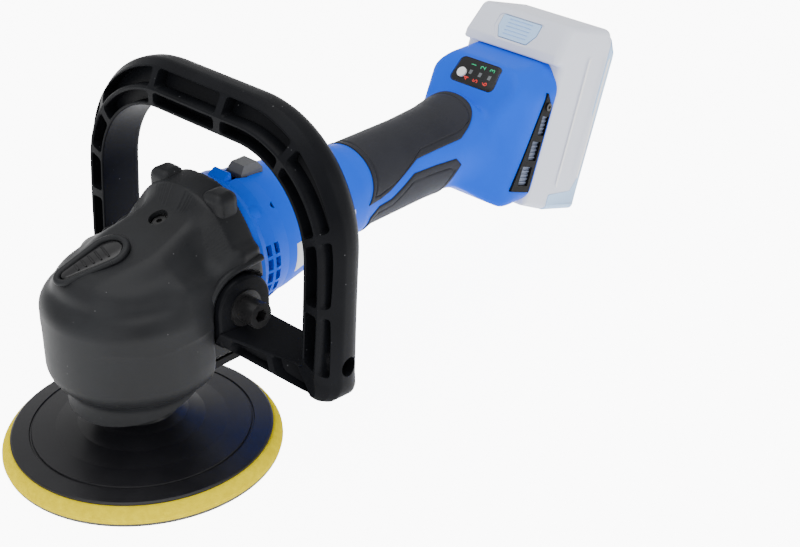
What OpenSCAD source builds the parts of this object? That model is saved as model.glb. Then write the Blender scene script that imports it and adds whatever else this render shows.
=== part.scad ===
// Cordless dual action polisher: a 150 mm pad on an eccentric drive, a bolted D-handle and a slide-on battery.
// Millimetres, +Z up, origin at the centre of the pad's working face, +X along the body towards the battery.

/* [Pad] */
// Diameter of the working face
pad_d = 150; // [125:1:180]
// How much smaller the foam is at its top than at the working face
foam_flare = 10; // [4:1:16]
// Thickness of the hook layer
hook_t = 1.4; // [0.8:0.1:2]
// Thickness of the foam
foam_t = 8.2; // [6:0.1:14]
// Height of the pad's hub over the working face
hub_top = 34; // [30:0.5:37]
// Radius of the pad's hub
hub_r = 15.5; // [12:0.5:18]

/* [Drive] */
// Diameter of the circle that the pad's centre travels
orbit_d = 8; // [5:0.5:10]
// Drive spindle diameter
spindle_d = 12; // [10:0.5:14]
// Pad spindle diameter
pad_spindle_d = 12; // [10:0.5:12]
// Pad thread diameter
thread_d = 8; // [6:0.5:9]
// Counterweight diameter
weight_d = 52; // [50:1:54]
// Bevel gear module
gear_m = 1.4; // [1.2:0.1:1.5]
// Teeth on the pinion
pinion_teeth = 12; // [10:1:14]
// Teeth on the crown gear
crown_teeth = 36; // [30:1:38]
// Running clearance between a shaft and what it turns in
run_gap = 0.05; // [0.02:0.01:0.1]

/* [Head] */
// Height of the motor axis over the working face
axis_z = 98; // [96:1:110]
// Radius of the rubber boot's round nose
nose_r = 46.5; // [45:0.5:52]
// Thickness of the rubber boot
boot_t = 3.2; // [2:0.1:4]
// Lower edge of the boot
boot_bottom = 46; // [44:0.5:50]
// Back face of the gear housing
flange_x = 53; // [51:0.5:58]
// Radius of the gear housing's flange
flange_r = 40; // [38:0.5:43]

/* [Handle] */
// Half the width of the D-handle
handle_w = 99.5; // [92:0.5:115]
// Top of the D-handle
handle_top = 194; // [185:1:215]
// Bottom of the D-handle
handle_bottom = 44; // [42:0.5:47]
// Depth of the handle's section, front to back
handle_depth = 27; // [24:0.5:30]
// Thickness of the handle's legs
leg_t = 19; // [17:0.5:22]
// Thickness of the handle's top bar
bar_t = 24; // [20:0.5:28]
// Angle that the handle leans back
handle_lean = 3.7; // [0:0.1:8]
// Radius of the handle's top corners
handle_corner = 68; // [55:1:72]
// Diameter of the hex key's socket
key_d = 10.4; // [8:0.1:11]
// Depth of the hex key's socket
key_depth = 16; // [10:1:18]

/* [Body] */
// Radius of the fan shroud behind the gear housing
shroud_r = 37.5; // [36:0.5:40]
// Back face of the fan shroud
shroud_x = 78; // [76:0.5:82]
// Wall of the plastic shells
shell_t = 2.6; // [2:0.1:3]
// Radius of the grip over its rubber
grip_r = 25; // [24:0.5:27]
// Thickness of the grip's rubber
rubber_t = 2.2; // [1.5:0.1:2.5]
// Where the grip's rubber starts
grip_x0 = 150; // [148:1:156]

/* [Foot and battery] */
// Angle that the battery's seat leans back
seat_lean = 21; // [18:1:24]
// Lower edge of the seat, along the body
seat_x = 270.5; // [268:0.5:276]
// Lower edge of the seat, over the working face
seat_z = 57.7; // [56:0.5:60]
// Length of the seat along the slope
seat_l = 85; // [82:1:92]
// Width of the foot
foot_w = 80; // [76:1:88]
// Battery width
pack_w = 76; // [72:1:80]
// Battery depth, away from the seat
pack_d = 64; // [56:1:72]
// Battery length along the slope
pack_l = 117; // [112:1:126]

/* [Controls] */
// Travel of the spindle lock
lock_travel = 3.4; // [3:0.1:3.6]

/* [Hidden] */
$fn = 96;
eps = 0.01;

// Pad stack
foam_z = hook_t;
disc_z = hook_t + foam_t;
disc_edge = 1.6;
pad_r = pad_d / 2;
disc_r = (pad_d - foam_flare) / 2;
insert_r = 9;

// Drive train, on an axis that stands off the pad's centre by half the orbit
drive_x = orbit_d / 2;
flange_t = 3;
weight_z0 = hub_top + flange_t + 2;
ecc_bearing_r = 14;
ecc_bearing_t = 8;
weight_z1 = weight_z0 + 18;
weight_r = weight_d / 2;
cover_z = weight_z1 + 2.5;
main_bearing_r = 16;
main_bearing_t = 9;
cover_top = cover_z + main_bearing_t + 2;
crown_pitch_r = gear_m * crown_teeth / 2;
pinion_pitch_r = gear_m * pinion_teeth / 2;
cone_l = norm([crown_pitch_r, pinion_pitch_r]);
crown_cone = atan2(crown_pitch_r, pinion_pitch_r);
pinion_cone = 90 - crown_cone;
face_share = 0.3;
tooth_add = 0.62 * gear_m;
tooth_ded = 0.95 * gear_m;
crown_root_r = crown_pitch_r * (1 - face_share) - 0.8;
crown_z = axis_z - pinion_pitch_r;
crown_back = crown_z - 6;
upper_z = axis_z + pinion_pitch_r + 1.5;
upper_bearing_r = 8;
upper_bearing_t = 4;
upper_bore = 4;
spindle_r = spindle_d / 2;
pad_spindle_r = pad_spindle_d / 2;
shaft_r = 5;

// Head
core_r = nose_r - boot_t;
cavity_r = crown_pitch_r + 3.5;
pinion_bore = pinion_pitch_r + 4.5;
skirt_r = weight_r + 2.5;
skirt_wall = 3;
ear_y = nose_r - 6;
ear_t = 7;
ear_x = 35.5;
ear_z = 88;
ear_r = 17;
bolt_r = 4;
bolt_head_r = 7;
bolt_head_l = 11;
washer_t = 1.6;
bump_y = 21;
bump_top = 142;
top_slope = 17;

// Spindle lock, on the sloping top of the nose
lock_r = 13.6;
lock_angle = 164;
lock_x = drive_x + lock_r * cos(lock_angle);
lock_y = lock_r * sin(lock_angle);
lock_holes = 12;
lock_pin_r = 2.2;
lock_turn = 165;
lock_top = slope_z(lock_x) + 1.6;
spring_z = 106.7;
lock_room = 4.2 + lock_travel;
pin_z = crown_root(crown_root_r) + 0.8;
spring_r = 3.4;

// Height of the boot's sloping top at a distance along the body
function slope_z(x) = 110 + (x + 31) * tan(top_slope);

// Motor
fan_x = shroud_x - 14;
stator_x0 = shroud_x + 8;
stator_l = 30;
stator_r = 27;
rotor_r = 14;
rear_bearing_x = stator_x0 + stator_l + 10;
motor_end = rear_bearing_x + 12;
neck_x = 145;

// Battery seat frame: u runs away from the seat, w runs up the slope
pack_gap = 0.3;
panel_tilt = 45;
panel_pos = [267.3, 0, 134];
panel_w = 33;
panel_h = 17;
panel_t = 2;

function tooth_point(r, a, cone, add) = [
    r * sin(cone) * cos(a) + add * cos(cone) * cos(a),
    r * sin(cone) * sin(a) + add * cos(cone) * sin(a),
    r * cos(cone) - add * sin(cone)];

// Height of the crown gear's root cone at a radius, a little over the feet of its teeth
function crown_root(r) = axis_z + 0.2 - r * (pinion_pitch_r + tooth_ded * sin(crown_cone))
    / (crown_pitch_r - tooth_ded * cos(crown_cone));

// One straight bevel tooth about +Z with its apex at the origin
module bevel_tooth(cone, teeth, thick) {
    half = 90 / teeth * thick;
    tip = half * 0.5;
    inner = cone_l * (1 - face_share);
    sh = 1 - face_share;
    pts = [for (s = [[cone_l, 1], [inner, sh]])
        for (c = [[-half * 1.5, -tooth_ded], [half * 1.5, -tooth_ded], [tip, tooth_add], [-tip, tooth_add]])
            tooth_point(s[0], c[0], cone, c[1] * s[1])];
    polyhedron(pts, [[0, 1, 2, 3], [7, 6, 5, 4], [0, 4, 5, 1], [1, 5, 6, 2], [2, 6, 7, 3], [3, 7, 4, 0]]);
}

// Revolves a profile of [radius, x] points about the motor axis
module about_axis(points) {
    translate([0, 0, axis_z]) rotate([90, 0, 90]) rotate_extrude() polygon(points);
}

// A cylinder along +X on the motor axis
module axis_cyl(x, l, r) {
    translate([x, 0, axis_z]) rotate([0, 90, 0]) cylinder(h = l, r = r);
}

// A ring along +X on the motor axis
module axis_ring(x, l, r_out, r_in) {
    difference() {
        axis_cyl(x, l, r_out);
        axis_cyl(x - 1, l + 2, r_in);
    }
}

// A ring along +Z at a point
module z_ring(x, z, l, r_out, r_in) {
    translate([x, 0, z]) difference() {
        cylinder(h = l, r = r_out);
        translate([0, 0, -1]) cylinder(h = l + 2, r = r_in);
    }
}

// A shielded ball bearing along +Z, as one ring with its shield grooves
module ball_bearing(r_out, r_in, t) {
    rim = (r_out - r_in) * 0.22;
    difference() {
        cylinder(h = t, r = r_out);
        translate([0, 0, -1]) cylinder(h = t + 2, r = r_in);
        for (z = [-1, t - 0.5]) translate([0, 0, z]) difference() {
            cylinder(h = 1.5, r = r_out - rim);
            translate([0, 0, -1]) cylinder(h = 4, r = r_in + rim);
        }
    }
}

// A pan-head screw pointing down -Z from the underside of its head at the origin
module screw(r, l, head_r, head_t, drive_r = 0) {
    difference() {
        union() {
            translate([0, 0, -l]) cylinder(h = l + eps, r = r, $fn = 32);
            cylinder(h = head_t, r = head_r, $fn = 32);
        }
        translate([0, 0, head_t * 0.4]) cylinder(h = head_t, r = drive_r > 0 ? drive_r : head_r * 0.5, $fn = 6);
    }
}

// ---- pad ----
module pad_hook() {
    color("dimgray") cylinder(h = hook_t, r = pad_r - 0.6);
}

module pad_foam() {
    color("gold") translate([0, 0, foam_z]) cylinder(h = foam_t, r1 = pad_r, r2 = disc_r + 0.2);
}

module pad_disc() {
    top = disc_z + disc_edge;
    color([0.12, 0.12, 0.13]) difference() {
        rotate_extrude() polygon([
            [0, disc_z], [disc_r, disc_z], [disc_r, top - 0.5], [disc_r - 0.8, top],
            [disc_r - 10, top + 1.4], [disc_r - 10.4, top + 0.7], [disc_r - 11.2, top + 0.7], [disc_r - 11.6, top + 1.7],
            [disc_r - 24, top + 3.4], [disc_r - 36, top + 6], [disc_r - 45, top + 9.6],
            [hub_r + 4.6, top + 12.6], [hub_r + 1.6, top + 17], [hub_r, top + 21.4], [hub_r, hub_top - 1],
            [hub_r - 1, hub_top], [0, hub_top]]);
        translate([0, 0, disc_z + 4]) cylinder(h = hub_top, r = insert_r);
    }
}

// Steel insert that is moulded into the hub, with the pad's thread
module pad_insert() {
    color("silver") difference() {
        translate([0, 0, disc_z + 4]) cylinder(h = hub_top - disc_z - 4, r = insert_r);
        translate([0, 0, disc_z + 7]) cylinder(h = hub_top, r = thread_d / 2);
    }
}

module pad_spindle() {
    color("silver") union() {
        translate([0, 0, disc_z + 9]) cylinder(h = hub_top - disc_z - 9 + eps, r = thread_d / 2);
        difference() {
            translate([0, 0, hub_top]) cylinder(h = flange_t, r = 10.5);
            for (s = [-1, 1]) translate([-12, s > 0 ? 8.5 : -12.5, hub_top - 1]) cube([24, 4, flange_t + 2]);
        }
        translate([0, 0, hub_top + flange_t - eps])
            cylinder(h = weight_z0 + 2 + ecc_bearing_t - hub_top - flange_t, r = pad_spindle_r);
        translate([0, 0, weight_z0 + ecc_bearing_t + 1.9]) cylinder(h = 1.5, r = pad_spindle_r + 1);
    }
}

// ---- eccentric drive ----
module eccentric_bearing() {
    color("lightsteelblue") translate([0, 0, weight_z0 + 1.5])
        ball_bearing(ecc_bearing_r, pad_spindle_r + run_gap, ecc_bearing_t);
}

// Counterweight: heavy on the side away from the pad's centre, with a lug that shows under the boot
module counterweight() {
    pocket = ecc_bearing_t + 4.5;
    color([0.2, 0.2, 0.21]) difference() {
        translate([drive_x, 0, weight_z0]) cylinder(h = weight_z1 - weight_z0, r = weight_r);
        translate([0, 0, weight_z0 - 1]) cylinder(h = 2.6, r = ecc_bearing_r - 1.5);
        translate([0, 0, weight_z0 + 1.5]) cylinder(h = pocket - 1.5, r = ecc_bearing_r);
        translate([drive_x, 0, weight_z0 + pocket - eps]) cylinder(h = 20, r = spindle_r);
        difference() {
            translate([-weight_r - 5, -weight_r, weight_z0 + 8]) cube([weight_r - 12 + 5, 2 * weight_r, 20]);
            translate([drive_x, 0, 0]) cylinder(h = 100, r = 17);
        }
        translate([drive_x - 3, -weight_r - 1, weight_z0 - 1]) cube([6, 4, 8]);
    }
}

module drive_spindle() {
    z0 = weight_z0 + ecc_bearing_t + 4.5;
    color("gainsboro") translate([drive_x, 0, 0]) difference() {
        union() {
            translate([0, 0, z0]) cylinder(h = crown_z - 1 - z0, r = spindle_r);
            translate([0, 0, weight_z1]) cylinder(h = cover_z + 1 - weight_z1, r = spindle_r + 3);
            translate([0, 0, crown_z - 1 - eps]) cylinder(h = upper_z + upper_bearing_t - crown_z, r = upper_bore);
        }
        translate([0, 0, crown_back + 1]) difference() {
            cylinder(h = 1.1, r = spindle_r + 1);
            translate([0, 0, -1]) cylinder(h = 4, r = spindle_r - 0.6);
        }
    }
}

module crown_gear() {
    rim = crown_pitch_r + 1;
    color("darkgray") translate([drive_x, 0, 0]) difference() {
        union() {
            rotate_extrude() polygon([
                [spindle_r, crown_back], [rim, crown_back], [rim, crown_root(rim)],
                [crown_root_r, crown_root(crown_root_r)], [spindle_r, crown_root(crown_root_r)]]);
            for (i = [0:crown_teeth - 1])
                translate([0, 0, axis_z]) rotate([180, 0, (i + 0.5) * 360 / crown_teeth])
                    bevel_tooth(crown_cone, crown_teeth, 0.9);
        }
        for (i = [0:lock_holes - 1]) rotate([0, 0, lock_angle + i * 360 / lock_holes])
            translate([lock_r, 0, crown_back + 1]) cylinder(h = 30, r = lock_pin_r + 0.6, $fn = 32);
    }
}

module spindle_clip() {
    color("dimgray") difference() {
        z_ring(drive_x, crown_back + 1 - 2.2, 1, spindle_r + 2.5, spindle_r);
        translate([drive_x, -2, crown_back - 10]) cube([20, 4, 20]);
    }
}

module main_bearing() {
    color("lightsteelblue") translate([drive_x, 0, cover_z + 1])
        ball_bearing(main_bearing_r, spindle_r + run_gap, main_bearing_t);
}

module upper_bearing() {
    color("lightsteelblue") translate([drive_x, 0, upper_z])
        ball_bearing(upper_bearing_r, upper_bore + run_gap, upper_bearing_t);
}

// ---- gear housing and its cover ----
module head_plan(r, back) {
    union() {
        circle(r = r);
        translate([0, -r]) square([back, 2 * r]);
    }
}

module housing_outer() {
    union() {
        translate([0, 0, cover_z]) linear_extrude(axis_z - 2 - cover_z) head_plan(core_r - 1, 15);
        translate([0, 0, axis_z - 3]) linear_extrude(9) head_plan(core_r - 9, 30);
        translate([0, 18, 0]) rotate([90, 0, 0]) linear_extrude(36) polygon([[-22, axis_z], [-22, slope_z(-22) - 4],
            [flange_x - 11, slope_z(flange_x - 11) - 4], [flange_x - 11, axis_z]]);
        translate([0, 0, cover_z]) linear_extrude(axis_z + 4 - cover_z)
            translate([15, 1 - ear_y]) square([flange_x - 15, 2 * ear_y - 2]);
        axis_cyl(flange_x - 12, 12, flange_r);
        for (s = [-1, 1]) translate([ear_x, s > 0 ? ear_y - 8 : -ear_y, ear_z]) rotate([-90, 0, 0])
            cylinder(h = 8, r = ear_r - 3);
    }
}

module gear_housing() {
    color([0.75, 0.76, 0.78]) difference() {
        housing_outer();
        translate([drive_x, 0, cover_z - 1]) cylinder(h = cover_top - cover_z + 1, r = main_bearing_r + 8);
        translate([drive_x, 0, cover_top - 1]) cylinder(h = axis_z + 4 - cover_top, r = cavity_r);
        translate([drive_x, 0, axis_z]) cylinder(h = upper_z - axis_z + 0.1, r = upper_bearing_r - 1.5);
        translate([drive_x, 0, upper_z]) cylinder(h = upper_bearing_t, r = upper_bearing_r);
        axis_cyl(drive_x + 13, flange_x, pinion_bore);
        axis_cyl(flange_x - 3, 4, flange_r - 6);
        translate([lock_x, lock_y, axis_z]) cylinder(h = 60, r = lock_pin_r + 0.15, $fn = 48);
        translate([lock_x, lock_y, spring_z]) cylinder(h = 60, r = spring_r + 0.5, $fn = 48);
        lock_slab(0.4, lock_room, 30);
        for (s = [-1, 1]) translate([ear_x, s * (ear_y - 14), ear_z]) rotate([s > 0 ? -90 : 90, 0, 0])
            cylinder(h = 15, r = bolt_r);
        for (a = [45:90:315]) axis_screw_hole(a);
        for (a = [45:90:315]) translate([cover_screw_x(a), cover_screw_y(a), cover_z - 1])
            cylinder(h = 12, r = 2, $fn = 32);
        boot_screw_place() translate([0, 0, -12]) cylinder(h = 30, r = 2, $fn = 32);
        boot_screw_place() translate([0, 0, -1]) cylinder(h = 30, r = 5, $fn = 32);
    }
}

function cover_screw_x(a) = drive_x - 2 + (skirt_r + 5.5) * cos(a);
function cover_screw_y(a) = (skirt_r + 5.5) * sin(a);

module axis_screw_hole(a) {
    translate([flange_x - 14, 0, axis_z]) rotate([a, 0, 0]) translate([0, 0, flange_r - 7]) rotate([0, 90, 0])
        cylinder(h = 15, r = 2, $fn = 32);
}

module boot_screw_place() {
    translate([24, 2, slope_z(24) - 4.5]) rotate([0, -top_slope, 0]) children();
}

module boot_screw() {
    color("dimgray") boot_screw_place() screw(2 - eps, 10, 3.6, 2.4, 1.7);
}

// Bearing cover with the skirt around the counterweight
module bearing_cover() {
    color([0.16, 0.16, 0.17]) difference() {
        union() {
            translate([0, 0, cover_z - 4]) linear_extrude(4) head_plan(core_r - 2, 38);
            z_ring(drive_x, cover_z - eps, cover_top - cover_z - 1, main_bearing_r + 7.9, main_bearing_r);
            z_ring(drive_x, boot_bottom - 1, cover_z - boot_bottom, skirt_r + skirt_wall, skirt_r);
            for (a = [45:90:315]) translate([cover_screw_x(a), cover_screw_y(a), boot_bottom + 5])
                cylinder(h = cover_z - boot_bottom - 6, r = 4.5, $fn = 32);
        }
        translate([drive_x, 0, boot_bottom - 2]) cylinder(h = weight_z1 + 1 - boot_bottom + 2, r = skirt_r);
        translate([drive_x, 0, cover_z - 10]) cylinder(h = 40, r = main_bearing_r - 4);
        translate([drive_x, 0, cover_z + 1]) cylinder(h = 40, r = main_bearing_r);
        for (a = [45:90:315]) translate([cover_screw_x(a), cover_screw_y(a), 0]) {
            cylinder(h = 100, r = 2, $fn = 32);
            cylinder(h = boot_bottom + 8, r = 4, $fn = 32);
        }
    }
}

module cover_screws() {
    color("silver") for (a = [45:90:315]) translate([cover_screw_x(a), cover_screw_y(a), boot_bottom + 8])
        rotate([180, 0, 0]) screw(2 - eps, cover_z + 8 - boot_bottom - 8, 3.6, 2.4);
}

// ---- rubber boot ----
module lock_outline(grow) {
    translate([lock_x, lock_y]) rotate(lock_turn) hull() {
        circle(r = 8 + grow, $fn = 32);
        translate([22, 0]) circle(r = 3.5 + grow, $fn = 32);
    }
}

// Upright prism of the lock's outline between two planes that slope with the boot's top
module lock_slab(grow, below, above) {
    intersection() {
        linear_extrude(200) lock_outline(grow);
        translate([lock_x, lock_y, lock_top]) rotate([0, -top_slope, 0]) translate([-60, -60, -below])
            cube([120, 120, below + above]);
    }
}

module nose_shape() {
    rotate_extrude() polygon([
        [0, boot_bottom], [nose_r - 13, boot_bottom], [nose_r - 8.5, boot_bottom + 2.5], [nose_r - 4, boot_bottom + 7],
        [nose_r - 1, boot_bottom + 13], [nose_r, boot_bottom + 19], [nose_r, axis_z - 5],
        [nose_r - 1.5, axis_z + 1], [nose_r - 5, axis_z + 6], [nose_r - 11, axis_z + 10],
        [nose_r - 18, axis_z + 12], [0, axis_z + 14]]);
}

module boot_outer() {
    rim_z = 61;
    union() {
        nose_shape();
        translate([0, 0, rim_z]) linear_extrude(axis_z + 8 - rim_z) translate([0, -nose_r + 3.5])
            square([17, 2 * nose_r - 7]);
        translate([0, 0, rim_z]) linear_extrude(ear_z + ear_r + 4 - rim_z) translate([14, -ear_y - 2.5])
            square([4, 2 * ear_y + 5]);
        // saddle that climbs from the nose to the flange
        hull() {
            translate([-28, -10, axis_z]) cube([1, 20, slope_z(-28) - axis_z]);
            translate([-12, -23, axis_z]) cube([1, 46, slope_z(-12) - axis_z]);
            translate([16, -26, axis_z]) cube([1, 52, slope_z(16) - axis_z]);
            translate([flange_x - 1, -22, axis_z]) cube([1, 44, slope_z(flange_x - 1) - axis_z]);
            translate([flange_x - 13, -flange_r - 2, axis_z]) cube([12, 2 * flange_r + 4, 12]);
            translate([2, -nose_r + 5, axis_z]) cube([1, 2 * nose_r - 10, 6]);
        }
        axis_cyl(flange_x - 15, 15, flange_r + 0.8);
        for (s = [-1, 1]) translate([flange_x - 15.5, s * bump_y - 8, axis_z + 20]) cube([19, 16, bump_top - 1.5 - axis_z - 20]);
        for (s = [-1, 1]) translate([flange_x - 12.5, s * bump_y - 6, axis_z + 20]) cube([14, 12, bump_top - axis_z - 20]);
        for (s = [-1, 1]) translate([flange_x - 15, s > 0 ? 0 : -flange_r - 3, axis_z]) cube([15, flange_r + 3, 18]);
        // raised rim around the lock button
        lock_slab(3.4, 20, 0.6);
    }
}

module ear_clear(grow) {
    for (s = [-1, 1]) {
        translate([ear_x, s > 0 ? ear_y - 4 : -ear_y - 20, ear_z]) rotate([-90, 0, 0])
            cylinder(h = 24, r = ear_r + grow);
        translate([ear_x - ear_r - grow, s > 0 ? ear_y - 4 : -ear_y - 20, 0])
            cube([60, 24, ear_z]);
    }
}

module gear_boot() {
    color([0.1, 0.1, 0.11]) difference() {
        boot_outer();
        housing_outer();
        translate([0, 0, cover_z - 4]) linear_extrude(4.1) head_plan(core_r - 2, 38);
        translate([drive_x, 0, 0]) cylinder(h = cover_z, r = skirt_r + skirt_wall);
        for (a = [45:90:315]) translate([cover_screw_x(a), cover_screw_y(a), 0]) cylinder(h = cover_z, r = 4.6, $fn = 32);
        ear_clear(0.4);
        lock_slab(0.4, lock_room, 30);
        translate([lock_x, lock_y, axis_z]) cylinder(h = 60, r = spring_r + 0.5, $fn = 48);
        boot_screw_place() translate([0, 0, -2]) cylinder(h = 30, r = 5, $fn = 32);
        shroud_outer();
        translate([flange_x, -80, 0]) cube([40, 160, 125]);
        translate([18.5, -80, 0]) cube([80, 160, 60.8]);
        for (s = [-1, 1]) translate([flange_x - 5.5, s * bump_y, axis_z + 35]) rotate([0, 90, 0])
            cylinder(h = 40, r = 2.1, $fn = 32);
    }
}

// ---- spindle lock ----
module lock_button() {
    color([0.08, 0.08, 0.09]) difference() {
        lock_slab(-0.1, 3.4, 1);
        for (i = [0:3]) translate([lock_x, lock_y, lock_top]) rotate([0, -top_slope, 0])
            rotate([0, 0, lock_turn]) translate([2 + 4 * i, -4, 0.3]) cube([1.2, 8, 2]);
        translate([lock_x, lock_y, axis_z]) cylinder(h = lock_top - 2 - axis_z, r = lock_pin_r, $fn = 48);
    }
}

module lock_pin() {
    color("silver") translate([lock_x, lock_y, 0]) union() {
        translate([0, 0, pin_z]) cylinder(h = lock_top - 2 - pin_z, r = lock_pin_r - 0.05, $fn = 48);
    }
}

module lock_spring() {
    color("gainsboro") translate([lock_x, lock_y, spring_z]) difference() {
        cylinder(h = lock_top - 5 - spring_z, r = spring_r, $fn = 48);
        translate([0, 0, -1]) cylinder(h = 30, r = spring_r - 0.7, $fn = 48);
    }
}

// ---- D-handle ----
// Section of the handle, as [outwards, backwards] from a line rim_r inside its outer face
module handle_section(rim_r) {
    round_r = handle_depth / 2 + 0.6;
    intersection() {
        translate([0, 0]) square([rim_r + 5, handle_depth]);
        union() {
            translate([rim_r - round_r, handle_depth / 2]) circle(r = round_r);
            square([max(rim_r - round_r, eps), handle_depth]);
            polygon([[0, 0], [rim_r - 7.5, 0], [rim_r - 2.4, 4.6], [rim_r - 2.4, 9], [0, 9]]);
        }
    }
}

handle_h = handle_top - handle_bottom;
low_corner = 14.2;
window_r = handle_corner - leg_t;
window_top = handle_h - bar_t;
window_bottom = 16;
window_w = handle_w - leg_t;

module handle_frame() {
    translate([41.5, 0, handle_bottom]) rotate([0, handle_lean, 0]) children();
}

// A quarter of the handle's solid, its section swept around a corner
module handle_quarter(y, z, r, start) {
    translate([0, y, z]) rotate([90, 0, 90]) rotate([0, 0, start]) rotate_extrude(angle = 90) handle_section(r);
}

module window_outline(grow) {
    w = window_w + grow;
    t = window_top + grow;
    b = window_bottom - grow;
    r = window_r + grow;
    q = 6;
    union() {
        translate([-w + r, b]) square([2 * (w - r), t - b]);
        translate([-w, b + q]) square([2 * w, t - r - b - q]);
        translate([-w + q, b]) square([2 * (w - q), 20]);
        for (s = [-1, 1]) {
            translate([s * (w - r), t - r]) circle(r = r);
            translate([s * (w - q), b + q]) circle(r = q);
        }
    }
}

module loop_blank() {
    span = handle_w - handle_corner;
    rise = handle_h - handle_corner;
    union() {
        handle_quarter(span, rise, handle_corner, 0);
        handle_quarter(-span, rise, handle_corner, 90);
        handle_quarter(-handle_w + low_corner, low_corner, low_corner, 180);
        handle_quarter(handle_w - low_corner, low_corner, low_corner, 270);
        translate([0, -span, rise]) rotate([-90, 0, 0]) rotate([0, 0, -90])
            linear_extrude(2 * span) handle_section(handle_corner);
        for (s = [0, 1]) mirror([0, s, 0]) translate([0, span, low_corner]) rotate([0, 0, 90]) mirror([0, 1, 0])
            linear_extrude(rise - low_corner) handle_section(handle_corner);
        translate([0, -handle_w + low_corner, 0]) cube([handle_depth, 2 * (handle_w - low_corner), 22]);
        translate([0, -span - 1, 10]) cube([handle_depth, 2 * span + 2, rise]);
    }
}

pocket_depth = 9;
row_in = [1.8, 8.4];
row_out = [7.2, 2.6];
// Stretches of pocket: heights up each leg, angles round each top corner, distances along the top bar
leg_stops = [[[18, 42], [46, 77]], [[18, 47], [51, 77]]];
arc_stops = [[[0, 27], [31, 82]], [[10, 59], [62.5, 90]]];
top_stops = [[-31.5, -17], [-13.5, 31.5]];

// One straight pocket up a leg, from z0 to z1, between two distances from the middle
module leg_pocket(s, y0, y1, z0, z1) {
    translate([-1, s > 0 ? y0 : -y1, z0]) cube([pocket_depth + 1, y1 - y0, z1 - z0]);
}

// One pocket around a top corner
module arc_pocket(s, c, z, r0, r1, a0, a1) {
    mirror([0, s, 0]) translate([-1, c, z]) rotate([90, 0, 90]) rotate([0, 0, a0])
        rotate_extrude(angle = a1 - a0) translate([r0, 0]) square([r1 - r0, pocket_depth + 1]);
}

module handle_pockets() {
    span = handle_w - handle_corner;
    rise = handle_h - handle_corner;
    wrise = window_top - window_r;
    for (i = [0, 1]) {
        for (p = leg_stops[i]) {
            leg_pocket(1 - 2 * i, window_w + row_in[0], window_w + row_in[1], p[0], p[1]);
            leg_pocket(1 - 2 * i, handle_w - row_out[0], handle_w - row_out[1], p[0], p[1] + (p[1] > 70 ? rise - wrise : 0));
        }
        for (a = arc_stops[i]) {
            arc_pocket(i, span, wrise, window_r + row_in[0], window_r + row_in[1], a[0], a[1]);
            arc_pocket(i, span, rise, handle_corner - row_out[0], handle_corner - row_out[1], a[0], a[1]);
        }
    }
    for (t = top_stops) {
        translate([-1, t[0], window_top + row_in[0]]) cube([pocket_depth + 1, t[1] - t[0], row_in[1] - row_in[0]]);
        translate([-1, t[0], handle_h - row_out[0]]) cube([pocket_depth + 1, t[1] - t[0], row_out[0] - row_out[1]]);
    }
}

// Arm that climbs from the lower corner to the ear at the gear housing
module handle_arm() {
    corner_y = window_w + 4;
    intersection() {
        translate([0, 0, 0]) rotate([90, 0, 90]) linear_extrude(120) polygon([
            [ear_y, ear_z - ear_r - 4], [ear_y, ear_z], [ear_y + ear_t, ear_z], [ear_y + ear_t, ear_z - 10],
            [window_w + 0.5, handle_bottom + window_bottom], [corner_y + 6, handle_bottom + window_bottom],
            [corner_y + 6, handle_bottom + 0.3], [corner_y, handle_bottom + 0.3]]);
        linear_extrude(150) polygon([
            [ear_x - ear_r, ear_y - 1], [ear_x - ear_r, ear_y + ear_t - 2], [42.6, corner_y], [42.6, corner_y + 8],
            [42 + handle_depth, corner_y + 8], [42 + handle_depth, window_w], [ear_x + ear_r, ear_y + ear_t + 2],
            [ear_x + ear_r, ear_y - 1]]);
    }
}

module handle_ear() {
    difference() {
        union() {
            translate([ear_x, ear_y, ear_z]) rotate([-90, 0, 0]) cylinder(h = ear_t, r = ear_r);
            translate([ear_x - ear_r, ear_y, ear_z - ear_r - 0.5]) cube([2 * ear_r, ear_t, ear_r + 0.5]);
            handle_arm();
        }
        translate([ear_x, ear_y - 1, ear_z]) rotate([-90, 0, 0]) cylinder(h = 40, r = bolt_r + 0.3);
    }
}

module handle_loop() {
    color([0.09, 0.09, 0.1]) difference() {
        union() {
            handle_frame() difference() {
                loop_blank();
                translate([-5, 0, 0]) rotate([90, 0, 90]) linear_extrude(60) window_outline(0);
                handle_pockets();
                translate([-5, -window_w - 1, -5]) cube([60, 2 * window_w + 2, window_bottom + 8]);
            }
            for (s = [0, 1]) mirror([0, s, 0]) handle_ear();
        }
        translate([59, -handle_w - 1, 64]) rotate([-90, 0, 0]) cylinder(h = key_depth + 1, r = key_d / 2);
    }
}

module handle_washers() {
    color("dimgray") for (s = [-1, 1]) translate([ear_x, s > 0 ? ear_y + ear_t : -ear_y - ear_t - washer_t, ear_z])
        rotate([-90, 0, 0]) difference() {
            cylinder(h = washer_t, r = 10);
            translate([0, 0, -1]) cylinder(h = washer_t + 2, r = bolt_r + 0.2);
        }
}

module handle_bolts() {
    color([0.13, 0.13, 0.14]) for (s = [0, 1]) mirror([0, s, 0])
        translate([ear_x, ear_y + ear_t + washer_t, ear_z]) rotate([-90, 0, 0]) difference() {
            union() {
                translate([0, 0, -ear_t - washer_t - 12]) cylinder(h = ear_t + washer_t + 12.1, r = bolt_r - eps);
                cylinder(h = bolt_head_l, r = bolt_head_r);
            }
            translate([0, 0, bolt_head_l - 5]) cylinder(h = 6, r = 3.6, $fn = 6);
        }
}

// ---- motor ----
module motor_shaft() {
    color("gainsboro") union() {
        axis_cyl(drive_x + crown_pitch_r * (1 - face_share) + 0.5, 14, shaft_r - 1);
        axis_cyl(drive_x + crown_pitch_r + 3, rear_bearing_x + 7 - drive_x - crown_pitch_r - 3, shaft_r);
    }
}

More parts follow.
